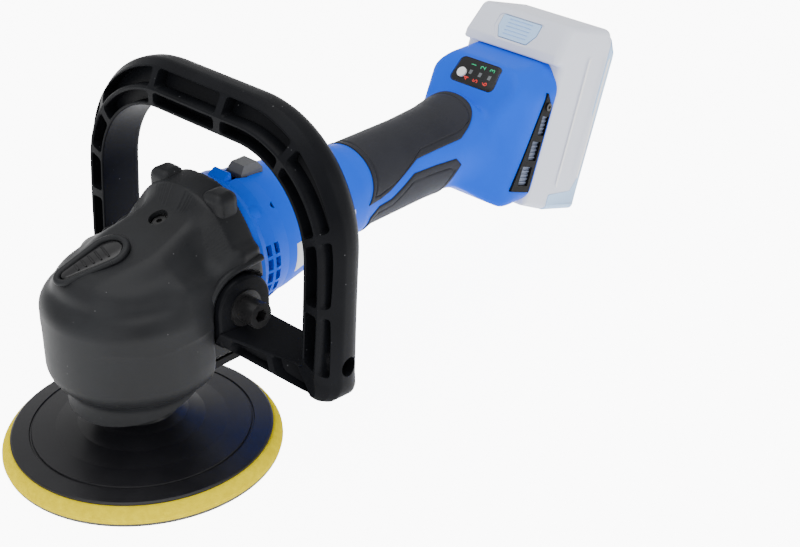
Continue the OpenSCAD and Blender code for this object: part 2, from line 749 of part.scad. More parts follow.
module pinion_gear() {
    x0 = drive_x + crown_pitch_r * (1 - face_share);
    x1 = drive_x + crown_pitch_r;
    r1 = pinion_pitch_r - tooth_ded + 0.3;
    color("darkgray") difference() {
        union() {
            about_axis([[0, x0 + 0.6], [r1 * (1 - face_share), x0 + 0.6], [r1, x1 - 0.3], [r1 + 1.2, x1 + 3],
                [shaft_r + 2.6, x1 + 6], [0, x1 + 6]]);
            for (i = [0:pinion_teeth - 1]) translate([drive_x, 0, axis_z]) rotate([i * 360 / pinion_teeth, 0, 0])
                rotate([0, 90, 0]) bevel_tooth(pinion_cone, pinion_teeth, 0.9);
        }
        axis_cyl(x0 - 2, 14.5 + 2, shaft_r - 1);
        axis_cyl(x1 + 3, 20, shaft_r);
    }
}

module front_bearing() {
    color("lightsteelblue") translate([flange_x - 10, 0, axis_z]) rotate([0, 90, 0])
        ball_bearing(pinion_bore, shaft_r + run_gap, 9);
}

module cooling_fan() {
    fan_r = shroud_r - shell_t - 6;
    color([0.2, 0.2, 0.22]) union() {
        axis_ring(fan_x, 10, shaft_r + 4, shaft_r);
        axis_ring(fan_x + 8, 2, fan_r, shaft_r + 3.5);
        for (i = [0:10]) translate([fan_x, 0, axis_z]) rotate([i * 360 / 11, 0, 0]) translate([0, 12, -0.8])
            cube([8.5, fan_r - 12.5, 1.6]);
    }
}

module rotor_core() {
    color("gray") axis_ring(stator_x0 + 1, stator_l - 2, rotor_r, shaft_r);
}

module stator_core() {
    color([0.55, 0.55, 0.57]) difference() {
        axis_cyl(stator_x0, stator_l, stator_r);
        axis_cyl(stator_x0 - 1, stator_l + 2, rotor_r + 0.6);
        for (i = [0:5]) translate([stator_x0 - 1, 0, axis_z]) rotate([i * 60 + 30, 0, 0]) translate([0, -4, rotor_r + 2.4])
            cube([stator_l + 2, 8, stator_r - rotor_r - 6]);
    }
}

module stator_windings() {
    color("peru") for (i = [0:5]) translate([stator_x0 - 4, 0, axis_z]) rotate([i * 60 + 30, 0, 0])
        translate([0, -3.8, rotor_r + 2.6]) cube([stator_l + 8, 7.6, stator_r - rotor_r - 6.4]);
}

module bearing_bridge() {
    color([0.3, 0.3, 0.33]) difference() {
        axis_cyl(rear_bearing_x - 2, 8, body_radius(rear_bearing_x + 6) - shell_t);
        axis_cyl(rear_bearing_x - 3, 30, shaft_r + 1);
        axis_cyl(rear_bearing_x, 30, 8);
        for (i = [0:5]) translate([rear_bearing_x - 3, 0, axis_z]) rotate([i * 60, 0, 0]) translate([0, 0, 17])
            rotate([0, 90, 0]) cylinder(h = 12, r = 4.4, $fn = 32);
    }
}

module rear_bearing() {
    color("lightsteelblue") translate([rear_bearing_x, 0, axis_z]) rotate([0, 90, 0])
        ball_bearing(8, shaft_r + run_gap, 6);
}

module hall_board() {
    color("darkgreen") axis_ring(stator_x0 + stator_l + 4.2, 1.6, stator_r - 3, rotor_r);
}

// ---- fan shroud ----
module shroud_slot(a, x, w, l) {
    translate([x, 0, axis_z]) rotate([a, 0, 0]) translate([0, -l / 2, shroud_r - 8]) cube([w, l, 14]);
}

module shroud_outer() {
    union() {
        about_axis([[0, flange_x], [flange_r + 0.6, flange_x], [flange_r + 0.6, flange_x + 4],
            [shroud_r + 1, flange_x + 8], [shroud_r + 1, shroud_x - 10], [shroud_r - 1.5, shroud_x], [0, shroud_x]]);
        for (a = [45:90:315]) translate([flange_x, 0, axis_z]) rotate([a, 0, 0]) translate([0, 0, flange_r - 7])
            rotate([0, 90, 0]) cylinder(h = 12, r = 6.5);
    }
}

module fan_shroud() {
    color([0.05, 0.42, 0.86]) difference() {
        shroud_outer();
        axis_cyl(flange_x + 4, shroud_x - flange_x - 7, shroud_r - shell_t);
        axis_cyl(flange_x - 1, 10, shaft_r + 8);
        axis_cyl(shroud_x - 4, 10, shroud_r - 9);
        for (a = [45:90:315]) translate([flange_x - 1, 0, axis_z]) rotate([a, 0, 0]) translate([0, 0, flange_r - 7])
            rotate([0, 90, 0]) cylinder(h = 20, r = 2.1, $fn = 32);
        for (a = [45:90:315]) translate([flange_x + 4, 0, axis_z]) rotate([a, 0, 0]) translate([0, 0, flange_r - 7])
            rotate([0, 90, 0]) cylinder(h = 40, r = 3.8, $fn = 32);
        for (side = [-1, 1]) for (k = [0:4]) for (c = [0, 1])
            shroud_slot(-side * (-78 - k * 12) + 0, flange_x + 8 + c * 5.5, 3.4, 6.2);
        translate([flange_x + 10, -7.2, axis_z + shroud_r - 14]) cube([40, 14.4, 24]);
    }
}

module flange_screws() {
    color("silver") for (a = [45:90:315]) translate([flange_x + 4, 0, axis_z]) rotate([a, 0, 0])
        translate([0, 0, flange_r - 7]) rotate([0, 90, 0]) screw(2 - eps, 14, 3.6, 2.6);
}

// ---- clamshell body ----
function body_radius(x) = x < 99 ? shroud_r - 1.5 - (x - shroud_x) * 0.12
    : x < neck_x ? shroud_r - 4 - (x - 99) * (shroud_r - 4 - grip_r - 2) / (neck_x - 99) : grip_r + 1;

module body_skin(t) {
    about_axis([
        [0, shroud_x + t], [body_radius(shroud_x) - t, shroud_x + t], [body_radius(99) - t, 99],
        [body_radius(neck_x - 0.1) - t, neck_x], [grip_r - t, neck_x + 14], [grip_r - t, 205], [grip_r + 1.4 - t, 228],
        [grip_r + 3.4 - t, 243], [grip_r + 4.6 - t, 250], [grip_r + 2 - t, 256 - t], [0, 256 - t]]);
}

module seat_frame() {
    translate([seat_x, 0, seat_z]) rotate([0, seat_lean, 0]) children();
}

// Outer block of the foot, shrunk all round by t
module foot_skin(t) {
    hull() {
        axis_cyl(240 + t, 6, grip_r + 2.4 - t);
        seat_frame() translate([-16 + t, -foot_w / 2 + 6 + t, 3 + t]) cube([16 - 2 * t, foot_w - 12 - 2 * t, seat_l - 12 - 2 * t]);
        seat_frame() translate([-13 + t, -foot_w / 2 + t, 9 + t]) cube([13 - 2 * t, foot_w - 2 * t, seat_l - 27 - 2 * t]);
        seat_frame() translate([-20 + t, -foot_w / 2 + 14 + t, t]) cube([20 - 2 * t, foot_w - 28 - 2 * t, seat_l - 4 - 2 * t]);
        translate([272 + t, -24 + t, 120]) cube([18 - 2 * t, 48 - 2 * t, 19.6 - t]);
    }
}

module body_blank(t) {
    union() {
        body_skin(t);
        foot_skin(t);
    }
}

stripe_low = [[149, 86], [167.5, 93.4], [187, 102.6], [222, 100.8], [226, 96.5]];
stripe_high = [[146, 95], [163.6, 99.6], [191, 110.6], [228.5, 110.6], [233.5, 113]];

// Side outline of the grip's upper or lower rubber
module grip_outline(upper) {
    if (upper) polygon(concat(stripe_high, [[247, 140], [grip_x0 + 2, 140], [grip_x0 + 4, 122], [grip_x0, 108]]));
    else polygon(concat(stripe_low, [[218, 84], [212, 60], [grip_x0 + 5, 60]]));
}

module grip_rubber(upper, grow) {
    intersection() {
        difference() {
            about_axis([[0, neck_x - 4], [grip_r + 1.4 + grow, neck_x - 4], [grip_r + grow, neck_x + 12], [grip_r + grow, 205],
                [grip_r + 1.6 + grow, 228], [grip_r + 3 + grow, 250], [0, 250]]);
            about_axis([[0, neck_x - 6], [grip_r + 0.2 - rubber_t, neck_x - 6], [grip_r - rubber_t, neck_x + 12], [grip_r - rubber_t, 205],
                [grip_r + 1.4 - rubber_t, 228], [grip_r + 2.4 - rubber_t, 256], [0, 256]]);
        }
        translate([0, 60, 0]) rotate([90, 0, 0]) linear_extrude(120) grip_outline(upper);
    }
}

module grip_top() {
    color([0.16, 0.17, 0.18]) grip_rubber(true, 0.3);
}

module grip_bottom() {
    color([0.16, 0.17, 0.18]) grip_rubber(false, 0.3);
}

body_screw_spots = [[81.8, 67.5], [141, 117], [160, 86], [205, 86], [262, 70], [282, 124]];

module screw_spot(p) {
    translate([p[0], 0, p[1]]) rotate([-90, 0, 0]) children();
}

module vent_outline(grow) {
    polygon([[-20 - grow, 8 - grow], [-2 + grow, 8 - grow], [-2 + grow, 62 + grow], [-9 - grow, 70 + grow]]);
}

module body_half(s) {
    difference() {
        intersection() {
            body_blank(0);
            translate([shroud_x - 1, s > 0 ? 0 : -100, 0]) cube([400, 100, 250]);
        }
        difference() {
            body_blank(shell_t);
            for (p = body_screw_spots) screw_spot(p) translate([0, 0, -60]) cylinder(h = 120, r = 4, $fn = 32);
        }
        axis_cyl(shroud_x - 5, 20, shroud_r - 10);
        grip_rubber(true, 5);
        grip_rubber(false, 5);
        for (p = body_screw_spots) screw_spot(p) {
            translate([0, 0, -26]) cylinder(h = 60, r = 1.5, $fn = 32);
            translate([0, 0, 6]) cylinder(h = 60, r = 3.2, $fn = 32);
        }
        translate([shroud_x - 2, -7.2, axis_z + 10]) cube([22, 14.4, 40]);
        panel_place() translate([-panel_w / 2, -panel_h / 2, -6]) cube([panel_w, panel_h, 20]);
        seat_frame() translate([-6, -26, 12]) cube([20, 52, seat_l - 22]);
        for (m = [0, 1]) mirror([0, m, 0]) seat_frame() translate([0, -foot_w / 2 + 2.2, 0]) rotate([90, 0, 0])
            linear_extrude(10) vent_outline(0.1);
        bearing_seat_cut();
        labels(0.3);
    }
}

module bearing_seat_cut() {
    axis_cyl(rear_bearing_x - 2, 8, body_radius(rear_bearing_x + 6) - shell_t);
}

module body_left() {
    color([0.05, 0.42, 0.86]) body_half(1);
}

module body_right() {
    color([0.05, 0.42, 0.86]) body_half(-1);
}

module body_screws() {
    color("dimgray") for (p = body_screw_spots) screw_spot(p) translate([0, 0, 6]) screw(1.5 - eps, 24, 3, 2.2);
}

module labels(grow) {
    for (m = [0, 1]) mirror([0, m, 0]) intersection() {
        difference() {
            body_skin(-0.2);
            body_skin(0.4);
        }
        translate([0, -18, 0]) rotate([90, 0, 0]) linear_extrude(40)
            polygon([[94 - grow, 84 - grow], [134 + grow, 91], [137 + grow, 100 + grow], [96 - grow, 100 + grow]]);
    }
}

module side_labels() {
    color("gainsboro") labels(0);
}

// ---- slide switch ----
module switch_slider() {
    color([0.22, 0.23, 0.25]) translate([flange_x + 20, 0, axis_z + shroud_r]) union() {
        hull() {
            translate([0, -6, -3]) cube([15, 12, 3]);
            translate([3, -5, 3]) cube([9, 10, 1]);
        }
        translate([4, -3, -6]) cube([8, 6, 3.5]);
    }
}

module switch_rod() {
    color([0.3, 0.3, 0.32]) translate([flange_x + 26, -2.9, axis_z + shroud_r - 8]) cube([14, 5.8, 2]);
}

module switch_unit() {
    color("black") translate([motor_end + 2, -8, axis_z - 8]) cube([20, 16, 14]);
}

// ---- foot electronics ----
module panel_place() {
    translate(panel_pos) rotate([0, -panel_tilt, 0]) rotate([0, 0, 90]) children();
}

module control_panel() {
    color([0.1, 0.1, 0.1]) panel_place() difference() {
        translate([-panel_w / 2 + 0.1, -panel_h / 2 + 0.1, -panel_t - 2.5]) cube([panel_w - 0.2, panel_h - 0.2, panel_t + 2.9]);
        translate([panel_w / 2 - 6.5, 2.5, -10]) cylinder(h = 20, r = 3.3, $fn = 48);
        for (i = [-1:1]) translate([i * 7.4 - 4.2, -1, -1]) cube([2.4, 3, 4]);
    }
}

module panel_lights() {
    color("gray") panel_place() for (i = [-1:1]) translate([i * 7.4 - 4.1, -0.9, -1]) cube([2.2, 2.8, 1.2]);
}

module speed_button() {
    color("white") panel_place() translate([panel_w / 2 - 6.5, 2.5, -4.2]) cylinder(h = 5.6, r = 3.1, $fn = 48);
}

module controller_board() {
    color("darkgreen") panel_place() translate([-12, -7, -10.5]) cube([24, 14, 1.6]);
}

module terminal_block() {
    color([0.15, 0.15, 0.15]) seat_frame() difference() {
        translate([-5.9, -25.9, 12.1]) cube([5.6, 51.8, seat_l - 22.2]);
        for (y = [-15, -5, 5, 15]) translate([-3, y - 1, 30]) cube([10, 2, 30]);
    }
}

module vent_inserts() {
    color([0.07, 0.07, 0.08]) for (m = [0, 1]) mirror([0, m, 0]) seat_frame() translate([0, -foot_w / 2 + 2.2, 0])
        rotate([90, 0, 0]) difference() {
            linear_extrude(2.6) vent_outline(0);
            for (k = [0:2]) translate([-14.6 + k * 2.9, 12 + k * 16, -1]) cube([9.4 - k * 1.4, 12, 10]);
            translate([-6, 62, -1]) cylinder(h = 9, r = 1.6, $fn = 32);
        }
}

module vent_screws() {
    color("dimgray") for (m = [0, 1]) mirror([0, m, 0]) seat_frame() translate([-6, -foot_w / 2 - 0.4, 62])
        rotate([90, 0, 0]) screw(1.6 - eps, 2.6, 2.4, 1);
}

// ---- battery ----
module pack_outline(t) {
    polygon([[pack_gap + t, -2 + t], [20, -4 + t], [pack_d - 6 - t, -3 + t], [pack_d - t, 6 + t],
        [pack_d - t, pack_l - 18 - t], [pack_d - 19 - t, pack_l - 4 - t], [3 + t, pack_l - 6 - t], [-5.5 + t, 92],
        [-5.5 + t, seat_l + 1.4], [pack_gap + t, seat_l + 0.6 + t]]);
}

module pack_plan(half) {
    polygon([[0, -half], [pack_d + 8, -half], [pack_d + 21, 9 - half], [pack_d + 21, half - 9], [pack_d + 8, half], [0, half]]);
}

module pack_solid(t) {
    seat_frame() intersection() {
        translate([0, pack_w, 0]) rotate([90, 0, 0]) linear_extrude(2 * pack_w) pack_outline(t);
        translate([-20, 0, -10]) linear_extrude(200) pack_plan(pack_w / 2 - t);
    }
}

module trim_zone() {
    seat_frame() rotate([90, 0, 0]) translate([0, 0, -60]) linear_extrude(120) polygon([
        [pack_d - 20, -20], [pack_d + 10, -20], [pack_d + 10, pack_l - 12], [pack_d - 12, pack_l - 4],
        [pack_d - 12, 60], [pack_d - 5, 52], [pack_d - 5, 20], [pack_d - 12, 8], [pack_d - 40, 6], [pack_d - 40, -20]]);
}

module latch_room(grow) {
    seat_frame() translate([-5.5, 0, 92]) rotate([0, 24.5, 0]) translate([-4, 0, -1])
        rotate([90, 0, 90]) linear_extrude(10 + grow) polygon([[-11 - grow, 2 - grow], [11 + grow, 2 - grow],
            [15 + grow, 9], [15 + grow, 17 + grow], [-15 - grow, 17 + grow], [-15 - grow, 9]]);
}

module battery_case() {
    color([0.78, 0.78, 0.82]) difference() {
        pack_solid(0);
        intersection() {
            pack_solid(shell_t);
            seat_frame() translate([6, -60, 2]) cube([100, 120, pack_l - 10]);
        }
        trim_zone_shell();
        latch_room(0.3);
        seat_frame() translate([-10, -22, 20]) cube([12.6, 44, 50]);
    }
}

// The coloured outer corner pieces take the place of the case's own wall
module trim_zone_shell() {
    difference() {
        intersection() {
            pack_solid(-1);
            trim_zone();
        }
        pack_solid(1.2);
    }
}

module battery_trim() {
    color([0.66, 0.8, 0.98]) difference() {
        intersection() {
            pack_solid(-0.6);
            trim_zone();
        }
        pack_solid(1.2);
    }
}

module battery_cells() {
    cell_r = 9;
    color("teal") seat_frame() for (i = [0:4]) for (j = [0, 1])
        translate([19 + j * (2 * cell_r + 0.8), 32.5, 15 + i * (2 * cell_r + 0.8)]) rotate([90, 0, 0])
            cylinder(h = 65, r = cell_r, $fn = 48);
}

module battery_board() {
    color("darkgreen") seat_frame() translate([6.6, -24, 16]) cube([1.6, 48, 60]);
}

module battery_latch() {
    color([0.7, 0.83, 0.99]) seat_frame() translate([-5.5, 0, 92]) rotate([0, 24.5, 0]) translate([0.2, 0, -1]) difference() {
        rotate([90, 0, 90]) linear_extrude(2.6) polygon([[-10.8, 2.2], [10.8, 2.2], [14.8, 9.1], [14.8, 16.8], [-14.8, 16.8], [-14.8, 9.1]]);
        for (k = [0:4]) translate([-1, -9, 4.4 + k * 2.5]) cube([1.5, 18, 0.8]);
    }
}

gear_housing();
gear_boot();
bearing_cover();
cover_screws();
upper_bearing();
main_bearing();
boot_screw();
drive_spindle();
crown_gear();
counterweight();
eccentric_bearing();
spindle_clip();
pad_spindle();
pad_disc();
pad_insert();
pad_foam();
pad_hook();
motor_shaft();
pinion_gear();
cooling_fan();
rotor_core();
lock_button();
lock_pin();
lock_spring();
handle_loop();
handle_bolts();
handle_washers();
fan_shroud();
flange_screws();
front_bearing();
rear_bearing();
bearing_bridge();
stator_core();
stator_windings();
hall_board();
body_left();
body_right();
body_screws();
grip_top();
grip_bottom();
side_labels();
switch_slider();
switch_rod();
switch_unit();
control_panel();
panel_lights();
speed_button();
controller_board();
terminal_block();
vent_inserts();
vent_screws();
battery_case();
battery_trim();
battery_cells();
battery_board();
battery_latch();
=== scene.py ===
"""Looks of the cordless dual action polisher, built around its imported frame.

Sizes are in millimetres, in the frame's own axes, until a mesh is made, which is in metres. +X runs along the body
towards the battery, +Z up from the pad, and the motor axis lies at AXIS_Z.
"""

import sys

import logging
import math
from collections.abc import Callable
from dataclasses import dataclass
from enum import Enum

import bpy
import numpy as np
from mathutils import Matrix

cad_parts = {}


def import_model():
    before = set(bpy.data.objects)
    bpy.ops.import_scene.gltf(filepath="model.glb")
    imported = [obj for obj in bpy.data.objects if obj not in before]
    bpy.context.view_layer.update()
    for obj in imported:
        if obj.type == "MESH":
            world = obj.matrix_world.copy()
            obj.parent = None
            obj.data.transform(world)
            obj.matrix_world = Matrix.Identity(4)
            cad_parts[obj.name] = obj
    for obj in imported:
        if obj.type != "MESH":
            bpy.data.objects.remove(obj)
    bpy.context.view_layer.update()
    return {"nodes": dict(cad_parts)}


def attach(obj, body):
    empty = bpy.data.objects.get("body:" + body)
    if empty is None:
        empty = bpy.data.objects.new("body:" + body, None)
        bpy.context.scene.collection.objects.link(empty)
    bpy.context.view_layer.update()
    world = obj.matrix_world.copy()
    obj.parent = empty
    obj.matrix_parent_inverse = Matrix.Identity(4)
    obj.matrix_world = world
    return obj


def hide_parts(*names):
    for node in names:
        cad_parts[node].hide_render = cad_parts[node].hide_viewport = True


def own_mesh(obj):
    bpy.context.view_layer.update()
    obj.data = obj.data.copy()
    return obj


LOG = logging.getLogger("polisher")
Array = np.ndarray
Piece = bpy.types.Object
Tree = bpy.types.NodeTree
Socket = bpy.types.NodeSocket
AXIS_Z = 98.0  # height of the motor axis
SEAT = np.array([270.5, 0.0, 57.7])  # lower end of the battery's seat
LEAN = math.radians(21.0)  # how far the seat leans back from upright
INNER = 0.01  # radius of a surface of revolution's closed middle


# ---------------------------------------------------------------- fields and curves
def blend_min(a: Array, b: Array, k: float) -> Array:
    """Union of two distance fields with a fillet about k wide: the smaller one, less a parabola where they are close.

    Args:
        a: first field.
        b: second field.
        k: width of the fillet.

    Returns:
        The joined field.
    """
    h = np.clip(0.5 + 0.5 * (b - a) / k, 0.0, 1.0)
    return b * (1 - h) + a * h - k * h * (1 - h)


def blend_max(a: Array, b: Array, k: float) -> Array:
    """Intersection of two distance fields with a rounded edge about k wide.

    Args:
        a: first field.
        b: second field.
        k: width of the rounding.

    Returns:
        The common field.
    """
    return -blend_min(-a, -b, k)


def round_max(a: Array, b: Array, r: float) -> Array:
    """Intersection of two fields whose edge is a true arc: the length of the positive parts of a + r and b + r, less r.

    Args:
        a: first field.
        b: second field.
        r: radius of the arc.

    Returns:
        The common field.
    """
    u, v = a + r, b + r
    return np.minimum(np.maximum(u, v), 0.0) + np.hypot(np.maximum(u, 0.0), np.maximum(v, 0.0)) - r


def soft_box(p: Array, centre: tuple, half: tuple, r: float) -> Array:
    """Distance field of a box with rounded edges: the length of the positive parts of |p - centre| - half + r, less r.

    Args:
        p: points, shape (..., 3).
        centre: middle of the box.
        half: half sizes.
        r: radius of the edges.

    Returns:
        The field at each point.
    """
    q = np.abs(p - np.array(centre)) - (np.array(half) - r)
    return np.linalg.norm(np.maximum(q, 0.0), axis=-1) + np.minimum(q.max(-1), 0.0) - r


def plane(p: Array, through: tuple, normal: tuple) -> Array:
    """Distance of points beyond a plane.

    Args:
        p: points, shape (..., 3).
        through: a point on the plane.
        normal: the way that counts as beyond, of any length.

    Returns:
        Signed distance at each point.
    """
    n = np.array(normal, float)
    return (p - np.array(through, float)) @ (n / np.linalg.norm(n))


def easing(x: Array, a: float, b: float) -> Array:
    """Smooth step of x: 0 up to a, 1 from b, and 3t^2 - 2t^3 between."""
    t = np.clip((np.asarray(x, float) - a) / (b - a), 0.0, 1.0)
    return t * t * (3 - 2 * t)


def cast(field: Callable[[Array], Array], origin: Array, way: Array, far: float, steps: int = 46) -> Array:
    """Points where rays leave a solid: each ray's outermost crossing is found by bisection between its origin and far.

    Args:
        field: function of points that is negative inside.
        origin: ray origins, shape (..., 3), inside the solid.
        way: unit directions, the same shape.
        far: a distance that is outside everywhere.
        steps: halvings and marching steps.

    Returns:
        Points on the surface, shape (..., 3).
    """
    lo = np.full(way.shape[:-1], 0.0)
    hi = np.full(way.shape[:-1], far)
    for t in np.linspace(far, 0.0, steps)[1:]:
        inside = field(origin + way * t) < 0
        fresh = inside & (lo == 0.0)
        hi = np.where(~inside & (lo == 0.0), t, hi)
        lo = np.where(fresh, max(t, 1e-6), lo)
    for _ in range(18):
        mid = (lo + hi) / 2
        inside = field(origin + way * mid[..., None]) < 0
        lo = np.where(inside, mid, lo)
        hi = np.where(inside, hi, mid)
    return origin + way * ((lo + hi) / 2)[..., None]


def rounded_loop(corners: Array, radii: Array, inset: float = 0.0, arc: int = 6) -> Array:
    """Closed outline with a fillet at each corner, moved inwards by an inset.

    Each corner moves along its bisector by the inset, and an arc joins the two tangent points, which lie
    radius * tan(turn / 2) from the corner. Leading dimensions are carried through, so a row of outlines comes at once.

    Args:
        corners: corners, counter-clockwise, shape (..., m, 2).
        radii: fillet radii, shape (..., m) or (m,).
        inset: how far the outline moves inwards.
        arc: points on each fillet.

    Returns:
        Outline points, shape (..., m * arc, 2).
    """
    c = np.asarray(corners, float)
    before = c - np.roll(c, 1, axis=-2)
    after = np.roll(c, -1, axis=-2) - c
    e0 = before / np.linalg.norm(before, axis=-1, keepdims=True)
    e1 = after / np.linalg.norm(after, axis=-1, keepdims=True)
    n0 = np.stack([-e0[..., 1], e0[..., 0]], -1)
    n1 = np.stack([-e1[..., 1], e1[..., 0]], -1)
    dot = (n0 * n1).sum(-1, keepdims=True)
    corner = c + inset * (n0 + n1) / np.maximum(1 + dot, 0.05)
    cross = e0[..., 0] * e1[..., 1] - e0[..., 1] * e1[..., 0]
    turn = np.arctan2(cross, (e0 * e1).sum(-1))
    side = np.where(turn < 0, -1.0, 1.0)
    rho = np.maximum(np.broadcast_to(radii, turn.shape) - side * inset, 0.02)
    cut = rho * np.tan(np.abs(turn) / 2)
    start = corner - e0 * cut[..., None]
    centre = start + n0 * (rho * side)[..., None]
    t = np.linspace(0.0, 1.0, arc)
    ang = turn[..., None] * t
    v = (start - centre)[..., None, :]
    x = v[..., 0] * np.cos(ang) - v[..., 1] * np.sin(ang)
    y = v[..., 0] * np.sin(ang) + v[..., 1] * np.cos(ang)
    out = np.stack([x, y], -1) + centre[..., None, :]
    return out.reshape(*c.shape[:-2], -1, 2)


# ---------------------------------------------------------------- meshes
def to_object(name: str, verts: Array, faces: list, uv: Array | None = None, sharp: float = 40.0) -> Piece:
    """Object made of points and faces, smooth but for edges sharper than an angle, its faces turned outwards.

    Args:
        name: object name.
        verts: points in millimetres, shape (n, 3).
        faces: lists of point numbers.
        uv: optional pair of numbers for each point.
        sharp: angle in degrees past which an edge stays sharp.

    Returns:
        The new object.
    """
    mesh = bpy.data.meshes.new(name)
    verts = np.asarray(verts, float) / 1000.0
    mesh.from_pydata(verts.tolist(), [], faces)
    tri = np.array([(f[0], f[i], f[i + 1]) for f in faces for i in range(1, len(f) - 1)])
    a, b, c = verts[tri[:, 0]], verts[tri[:, 1]], verts[tri[:, 2]]
    if np.einsum("ij,ij->i", a, np.cross(b, c)).sum() < 0:
        mesh.flip_normals()
    if uv is not None:
        layer = mesh.uv_layers.new(name="UVMap")
        index = np.zeros(len(mesh.loops), np.int32)
        mesh.loops.foreach_get("vertex_index", index)
        layer.data.foreach_set("uv", np.asarray(uv, np.float32)[index].ravel())
    mesh.validate()
    mesh.shade_smooth()
    mesh.set_sharp_from_angle(angle=math.radians(sharp))
    obj = bpy.data.objects.new(name, mesh)
    bpy.context.scene.collection.objects.link(obj)
    return obj


def skin(name: str, grid: Array, close_v: bool = True, caps: bool = True, sharp: float = 40.0) -> Piece:
    """Surface through a grid of points, row after row, with its first and last rows closed by a face.

    Args:
        name: object name.
        grid: points in millimetres, shape (rows, columns, 3).
        close_v: join each row's last point to its first.
        caps: close the first and last rows.
        sharp: angle in degrees past which an edge stays sharp.

    Returns:
        The new object.
    """
    nu, nv = grid.shape[:2]
    i = np.arange(nu - 1)[:, None]
    j = np.arange(nv if close_v else nv - 1)[None, :]
    i2, j2 = i + 1, (j + 1) % nv
    quads = np.stack([i * nv + j, i * nv + j2, i2 * nv + j2, i2 * nv + j], -1).reshape(-1, 4)
    faces = quads.tolist()
    if caps and close_v:
        faces.append(list(range(nv))[::-1])
        faces.append(list(range((nu - 1) * nv, nu * nv)))
    step_u = np.linalg.norm(np.diff(grid, axis=0), axis=-1).mean(1)
    step_v = np.linalg.norm(np.diff(grid, axis=1), axis=-1).mean(0)
    u = np.concatenate([[0], np.cumsum(step_u)]) / 1000
    v = np.concatenate([[0], np.cumsum(step_v)]) / 1000
    uv = np.stack(np.meshgrid(u, v, indexing="ij"), -1).reshape(-1, 2)
    return to_object(name, grid.reshape(-1, 3), faces, uv, sharp)


@dataclass
class Place:
    """A flat working frame: a point and the directions of its two drawing axes and of its height, in the row's axes."""

    at: tuple
    ex: tuple
    ey: tuple

    def lift(self, xy: Array, z: Array) -> Array:
        """Points of the row's frame for drawing coordinates and heights.

        Args:
            xy: drawing coordinates, shape (..., 2).
            z: heights, one for each point.

        Returns:
            Points, shape (..., 3).
        """
        ex, ey = np.array(self.ex, float), np.array(self.ey, float)
        ez = np.cross(ex, ey)
        return np.array(self.at) + xy[..., :1] * ex + xy[..., 1:] * ey + np.asarray(z)[..., None] * ez


def seat_plane(y: float) -> Place:
    """Upright plane across the seat: its first axis points out of the seat and its second along it."""
    return Place((SEAT[0], y, SEAT[2]), (math.cos(LEAN), 0, -math.sin(LEAN)), (math.sin(LEAN), 0, math.cos(LEAN)))


def oblong(x0: float, y0: float, x1: float, y1: float) -> list:
    """Corners of a rectangle between two opposite ones, counter-clockwise."""
    return [(x0, y0), (x1, y0), (x1, y1), (x0, y1)]


def slab(name: str, place: Place, corners: list, radii: float | tuple, z0: float, z1: float, lo: float = 0.0,
         hi: float = 0.6, arc: int = 6) -> Piece:
    """Plate with rounded corners and rounded rims: its outline moves in by r(1 - cos a) as the rim rises by r sin a.

    Args:
        name: object name.
        place: the frame it is drawn in.
        corners: outline corners, counter-clockwise.
        radii: fillet radius for each corner, or one for all.
        z0: height of its lower face.
        z1: height of its upper face.
        lo: rim radius at the lower face.
        hi: rim radius at the upper face.
        arc: points on each fillet.

    Returns:
        The new object.
    """
    corners = np.array(corners, float)
    area = (corners[:, 0] * np.roll(corners[:, 1], -1) - corners[:, 1] * np.roll(corners[:, 0], -1)).sum()
    if area < 0:
        corners = corners[::-1]
        radii = np.array(radii)[::-1] if np.ndim(radii) else radii
    radii = np.full(len(corners), radii, float) if np.ndim(radii) == 0 else np.array(radii, float)
    rows = []
    for t in np.linspace(0, math.pi / 2, 6 if lo > 0 else 1):
        rows.append((lo * (1 - math.sin(t)), z0 + lo * (1 - math.cos(t))))
    for t in np.linspace(0, math.pi / 2, 6 if hi > 0 else 1):
        rows.append((hi * (1 - math.cos(t)), z1 - hi + hi * math.sin(t)))
    grid = np.stack([place.lift(o := rounded_loop(corners, radii, d, arc), np.full(len(o), z)) for d, z in rows])
    return skin(name, grid, sharp=50)


def revolve(name: str, profile: list, at: tuple, axis: str = "x", around: int = 128, sharp: float = 35.0) -> Piece:
    """Surface of revolution: each profile point (radius, distance) goes round the axis.

    Args:
        name: object name.
        profile: pairs of radius and distance along the axis.
        at: a point on the axis, where the distance is zero.
        axis: "x", "y", "-y" or "z".
        around: points in a turn.
        sharp: angle in degrees past which an edge stays sharp.

    Returns:
        The new object.
    """
    p = np.array(profile, float)
    a = np.linspace(0, 2 * math.pi, around, endpoint=False)
    c, s = p[:, :1] * np.cos(a), p[:, :1] * np.sin(a)
    d = np.broadcast_to(p[:, 1:], c.shape)
    order = {"x": (d, c, s), "y": (s, d, c), "-y": (s, -d, c), "z": (c, s, d)}[axis]
    return skin(name, np.stack(order, -1) + np.array(at), sharp=sharp)


def tube(name: str, path: Array, radius: float, around: int = 10, squash: float = 1.0, up: tuple = (0, 0, 1)) -> Piece:
    """Rounded bead along a path: a ring of points square to the path's own direction at each point.

    Args:
        name: object name.
        path: points, shape (n, 3).
        radius: radius of the bead.
        around: points in a ring.
        squash: height of the ring as a share of its width.
        up: the way its height is measured.

    Returns:
        The new object.
    """
    path = np.asarray(path, float)
    along = np.gradient(path, axis=0)
    along /= np.linalg.norm(along, axis=1, keepdims=True)
    side = np.cross(along, np.array(up, float))
    side /= np.linalg.norm(side, axis=1, keepdims=True)
    top = np.cross(side, along)
    a = np.linspace(0, 2 * math.pi, around, endpoint=False)
    ring = np.cos(a)[None, :, None] * side[:, None] + squash * np.sin(a)[None, :, None] * top[:, None]
    return skin(name, path[:, None] + radius * ring, sharp=60)


